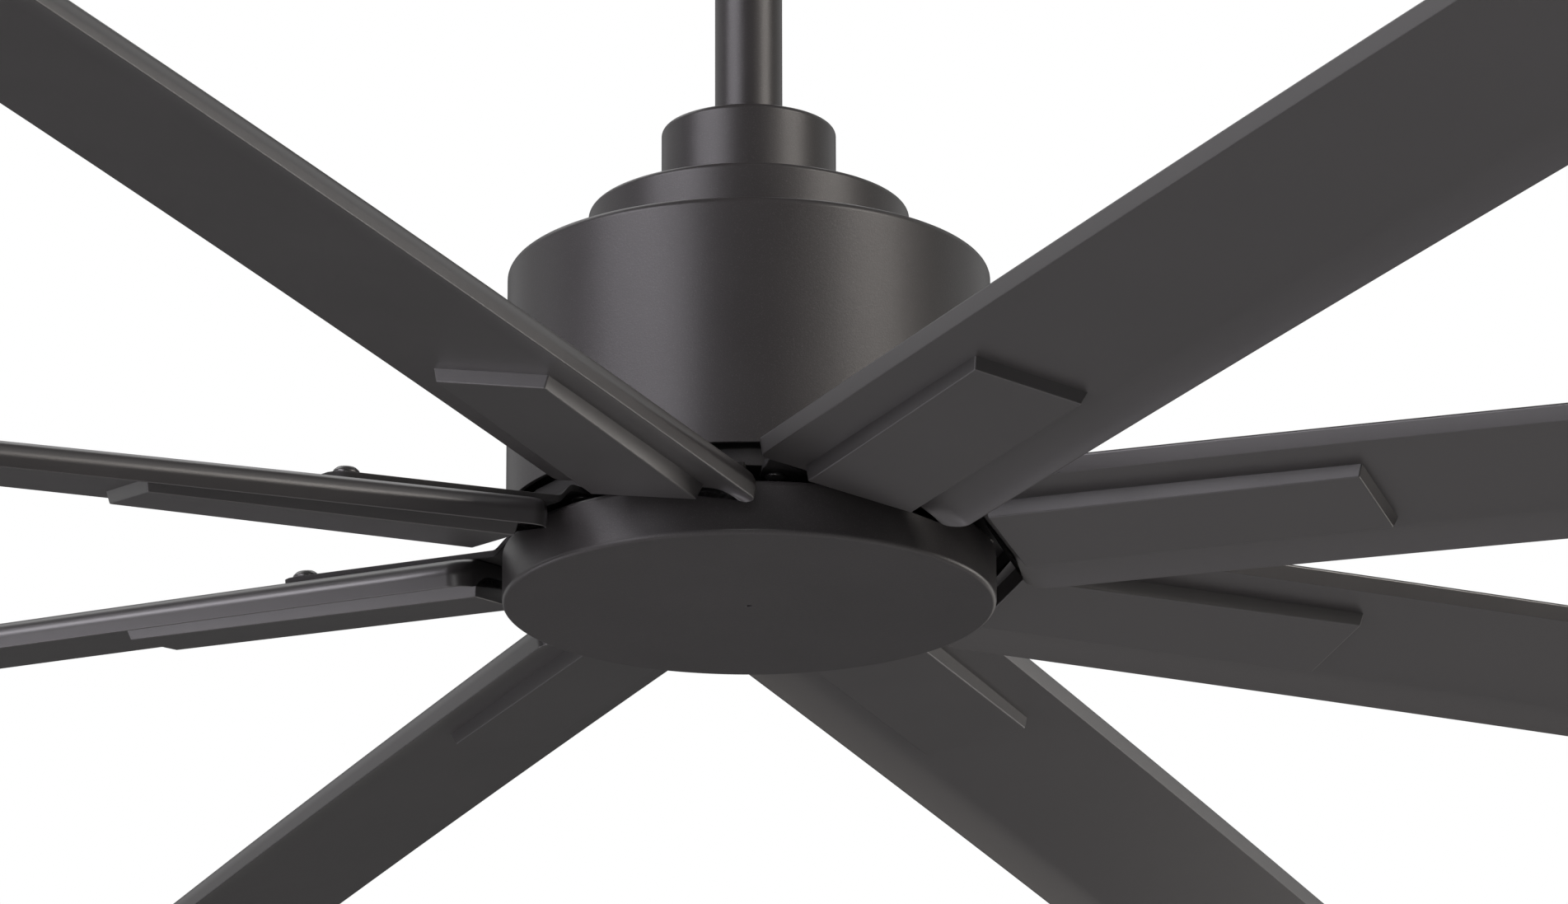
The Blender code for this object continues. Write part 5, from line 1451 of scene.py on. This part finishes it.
@dataclass(frozen=True)
class Lamp:
    """A rectangular soft lamp that faces the motor.

    Attributes:
        name: The lamp's name.
        azimuth_deg: Its direction from the motor, 0 to the front and 90 to the right.
        elevation_deg: Its height above the motor's level, as an angle.
        distance: Its distance.
        spread_deg: Half the angles that its width and its height fill.
        radiance: How bright its face is; 1 is white.
        colour: Its colour.
    """

    name: str
    azimuth_deg: float
    elevation_deg: float
    distance: float
    spread_deg: Point
    radiance: float
    colour: Colour = (1.0, 1.0, 1.0)

    def build(self, centre: Vector) -> None:
        """Place the lamp round a centre.

        Args:
            centre: The point that it faces.
        """
        azimuth, elevation = math.radians(self.azimuth_deg), math.radians(self.elevation_deg)
        level = math.cos(elevation)
        way = Vector((math.sin(azimuth) * level, -math.cos(azimuth) * level, math.sin(elevation)))
        light = bpy.data.lights.new(self.name, "AREA")
        light.shape = "RECTANGLE"
        light.size, light.size_y = (2 * self.distance * math.tan(math.radians(a)) for a in self.spread_deg)
        light.energy = self.radiance * math.pi * light.size * light.size_y
        light.color = self.colour
        lamp = placed(self.name, light)
        lamp.location = centre + way * self.distance
        lamp.rotation_euler = (-way).to_track_quat("-Z", "Y").to_euler()


@dataclass
class Studio:
    """Camera, lamps, floor and background.

    Attributes:
        levels: The fan's heights.
        focal_mm: Focal length on a 36 mm wide picture.
        pitch_deg: How far the camera looks up.
        yaw_deg: How far it looks to the right.
        roll_deg: Its roll.
        target: Where the camera looks.
        distance: Distance from the camera to its target.
        ambient: Strength of the grey light from all round.
        backdrop: Strength of the backdrop's lit sides in mirror reflections.
        backdrop_gap: Square of the sideways part of a direction, under which the backdrop is unlit.
        backdrop_back: Least backward part of a direction that meets the backdrop.
        backdrop_foot: Least upward part of such a direction.
        floor_half: Half the floor's side.
        floor_height: Height of the floor.
        floor_white: Share of plain white in the floor as the camera sees it; the rest is light and shadow.
        lamps: The lamps.
    """

    levels: Levels
    focal_mm: float = 204.2
    pitch_deg: float = 17.75
    yaw_deg: float = -0.238
    roll_deg: float = -0.144
    target: tuple[float, float, float] = (0.0138, 0.0, -0.3161)
    distance: float = 3.5212
    ambient: float = 0.09
    backdrop: float = 0.45
    backdrop_gap: float = 0.12
    backdrop_back: float = 0.2
    backdrop_foot: float = -0.2
    floor_half: float = 6.0
    floor_height: float = -2.4
    floor_white: float = 0.85
    lamps: tuple[Lamp, ...] = (
        Lamp("left_lamp", -59.0, 31.0, 3.0, (14.0, 11.0), 5.2, COOL),
        Lamp("left_front_lamp", -36.0, 20.0, 3.0, (10.0, 20.0), 2.9, COOL),
        Lamp("left_side_lamp", -84.0, 10.0, 3.0, (26.0, 10.0), 0.9, COOL),
        Lamp("low_left_lamp", -60.0, -22.0, 2.6, (11.0, 21.0), 2.9, COOL),
        Lamp("right_lamp", 60.0, 31.0, 3.0, (13.5, 11.0), 6.3, WARM),
        Lamp("right_front_lamp", 34.0, 20.0, 3.0, (10.0, 20.0), 0.7, WARM),
        Lamp("right_side_lamp", 78.0, 10.0, 3.0, (13.0, 10.0), 1.7, WARM),
        Lamp("back_right_lamp", 120.0, -10.0, 3.0, (10.0, 12.0), 3.6, WARM),
        Lamp("rear_right_lamp", 154.0, -10.0, 3.0, (13.0, 11.0), 0.6, WARM),
        Lamp("back_left_lamp", -122.0, -33.0, 3.0, (13.0, 11.0), 1.3, COOL),
        Lamp("front_lamp", 0.0, -9.0, 4.2, (8.0, 9.0), 2.4),
        Lamp("top_lamp", -158.0, 56.0, 3.0, (25.0, 14.0), 1.2),
        Lamp("top_right_lamp", 45.0, 56.0, 3.0, (12.6, 14.0), 0.4),
    )

    def build(self) -> None:
        """Set up everything that isn't the fan."""
        self._camera()
        for lamp in self.lamps:
            lamp.build(Vector((0.0, 0.0, self.levels.cap_face)))
        self._world()
        self._floor()

    def _camera(self) -> None:
        """Long lens from below, as in the photograph."""
        pitch, yaw, roll = (math.radians(a) for a in (self.pitch_deg, self.yaw_deg, self.roll_deg))
        target = Vector(self.target)
        ahead = Vector((math.sin(yaw) * math.cos(pitch), math.cos(yaw) * math.cos(pitch), math.sin(pitch)))
        right = Vector((math.cos(yaw), -math.sin(yaw), 0.0))
        up = right.cross(ahead)
        right, up = (
            right * math.cos(roll) + up * math.sin(roll),
            up * math.cos(roll) - right * math.sin(roll),
        )
        camera = placed("camera", bpy.data.cameras.new("camera"))
        camera.data.lens = self.focal_mm
        camera.data.sensor_width = 36.0
        camera.data.clip_end = 60.0
        basis = Matrix((right, up, -ahead)).transposed().to_4x4()
        camera.matrix_world = Matrix.Translation(target - ahead * self.distance) @ basis
        bpy.context.scene.camera = camera
        bpy.context.scene.view_settings.view_transform = "Standard"

    def _world(self) -> None:
        """White background for the camera; grey light all round, with a backdrop lit at its sides."""
        world = bpy.data.worlds.new("studio")
        world.use_nodes = True
        tree = world.node_tree
        shade = tree.nodes["Background"]
        path = tree.nodes.new("ShaderNodeLightPath")
        rays = ("Is Camera Ray", "Is Glossy Ray", "Is Transmission Ray")
        camera, glossy, through = (Wire(tree, path.outputs[name]) for name in rays)
        way = tree.nodes.new("ShaderNodeSeparateXYZ")
        tree.links.new(tree.nodes.new("ShaderNodeTexCoord").outputs["Generated"], way.inputs[0])
        aside, behind, up = (Wire(tree, way.outputs[name]) for name in "XYZ")
        sides = (aside * aside).above(self.backdrop_gap) * behind.above(self.backdrop_back)
        lit = sides * up.above(self.backdrop_foot) * self.backdrop
        seen = camera.at_least(through).at_least(glossy * lit)
        strength = self.ambient + (1.0 - self.ambient) * seen
        shade.inputs["Color"].default_value = (1.0, 1.0, 1.0, 1.0)
        tree.links.new(strength.socket, shade.inputs["Strength"])
        bpy.context.scene.world = world

    def _floor(self) -> None:
        """Pale floor far below the fan, clear to a camera that stands under it."""
        half, z = self.floor_half, self.floor_height
        mesh = bpy.data.meshes.new("floor")
        corners = [(-half, -half, z), (half, -half, z), (half, half, z), (-half, half, z)]
        mesh.from_pydata(corners, [], [(0, 1, 2, 3)])
        shader = Shader("pale_floor")
        shader.drive("Base Color", shader.blend(shader.noise(3.0), (0.84, 0.84, 0.84), (0.88, 0.88, 0.88)))
        shader.drive("Roughness", 0.9)
        camera = shader.node("ShaderNodeLightPath", output="Is Camera Ray")
        through = shader.node("ShaderNodeLightPath", output="Is Transmission Ray")
        under = shader.node("ShaderNodeNewGeometry", output="Backfacing")
        plain = Wire(shader.tree, shader.surface.outputs[0])
        white = shader.node("ShaderNodeEmission")
        clear = shader.node("ShaderNodeBsdfTransparent")
        share = camera.at_least(through) * self.floor_white
        pale = shader.node("ShaderNodeMixShader", inputs={0: share, 1: plain, 2: white})
        seen = shader.node("ShaderNodeMixShader", inputs={0: under, 1: pale, 2: clear})
        shader.tree.links.new(seen.socket, shader.tree.nodes["Material Output"].inputs["Surface"])
        mesh.materials.append(shader.material)
        placed("floor", mesh)


def main() -> None:
    """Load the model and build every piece."""
    logging.basicConfig(level=logging.INFO, format="%(message)s")
    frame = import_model()
    materials = Finishes().build()
    levels = Levels()
    Shells(levels).build(materials)
    blades = Blades(levels)
    blades.build(materials)
    Irons(blades).build(materials)
    Hardware.seen().build(frame, materials)
    Studio(levels).build()


if __name__ == "__main__":
    main()
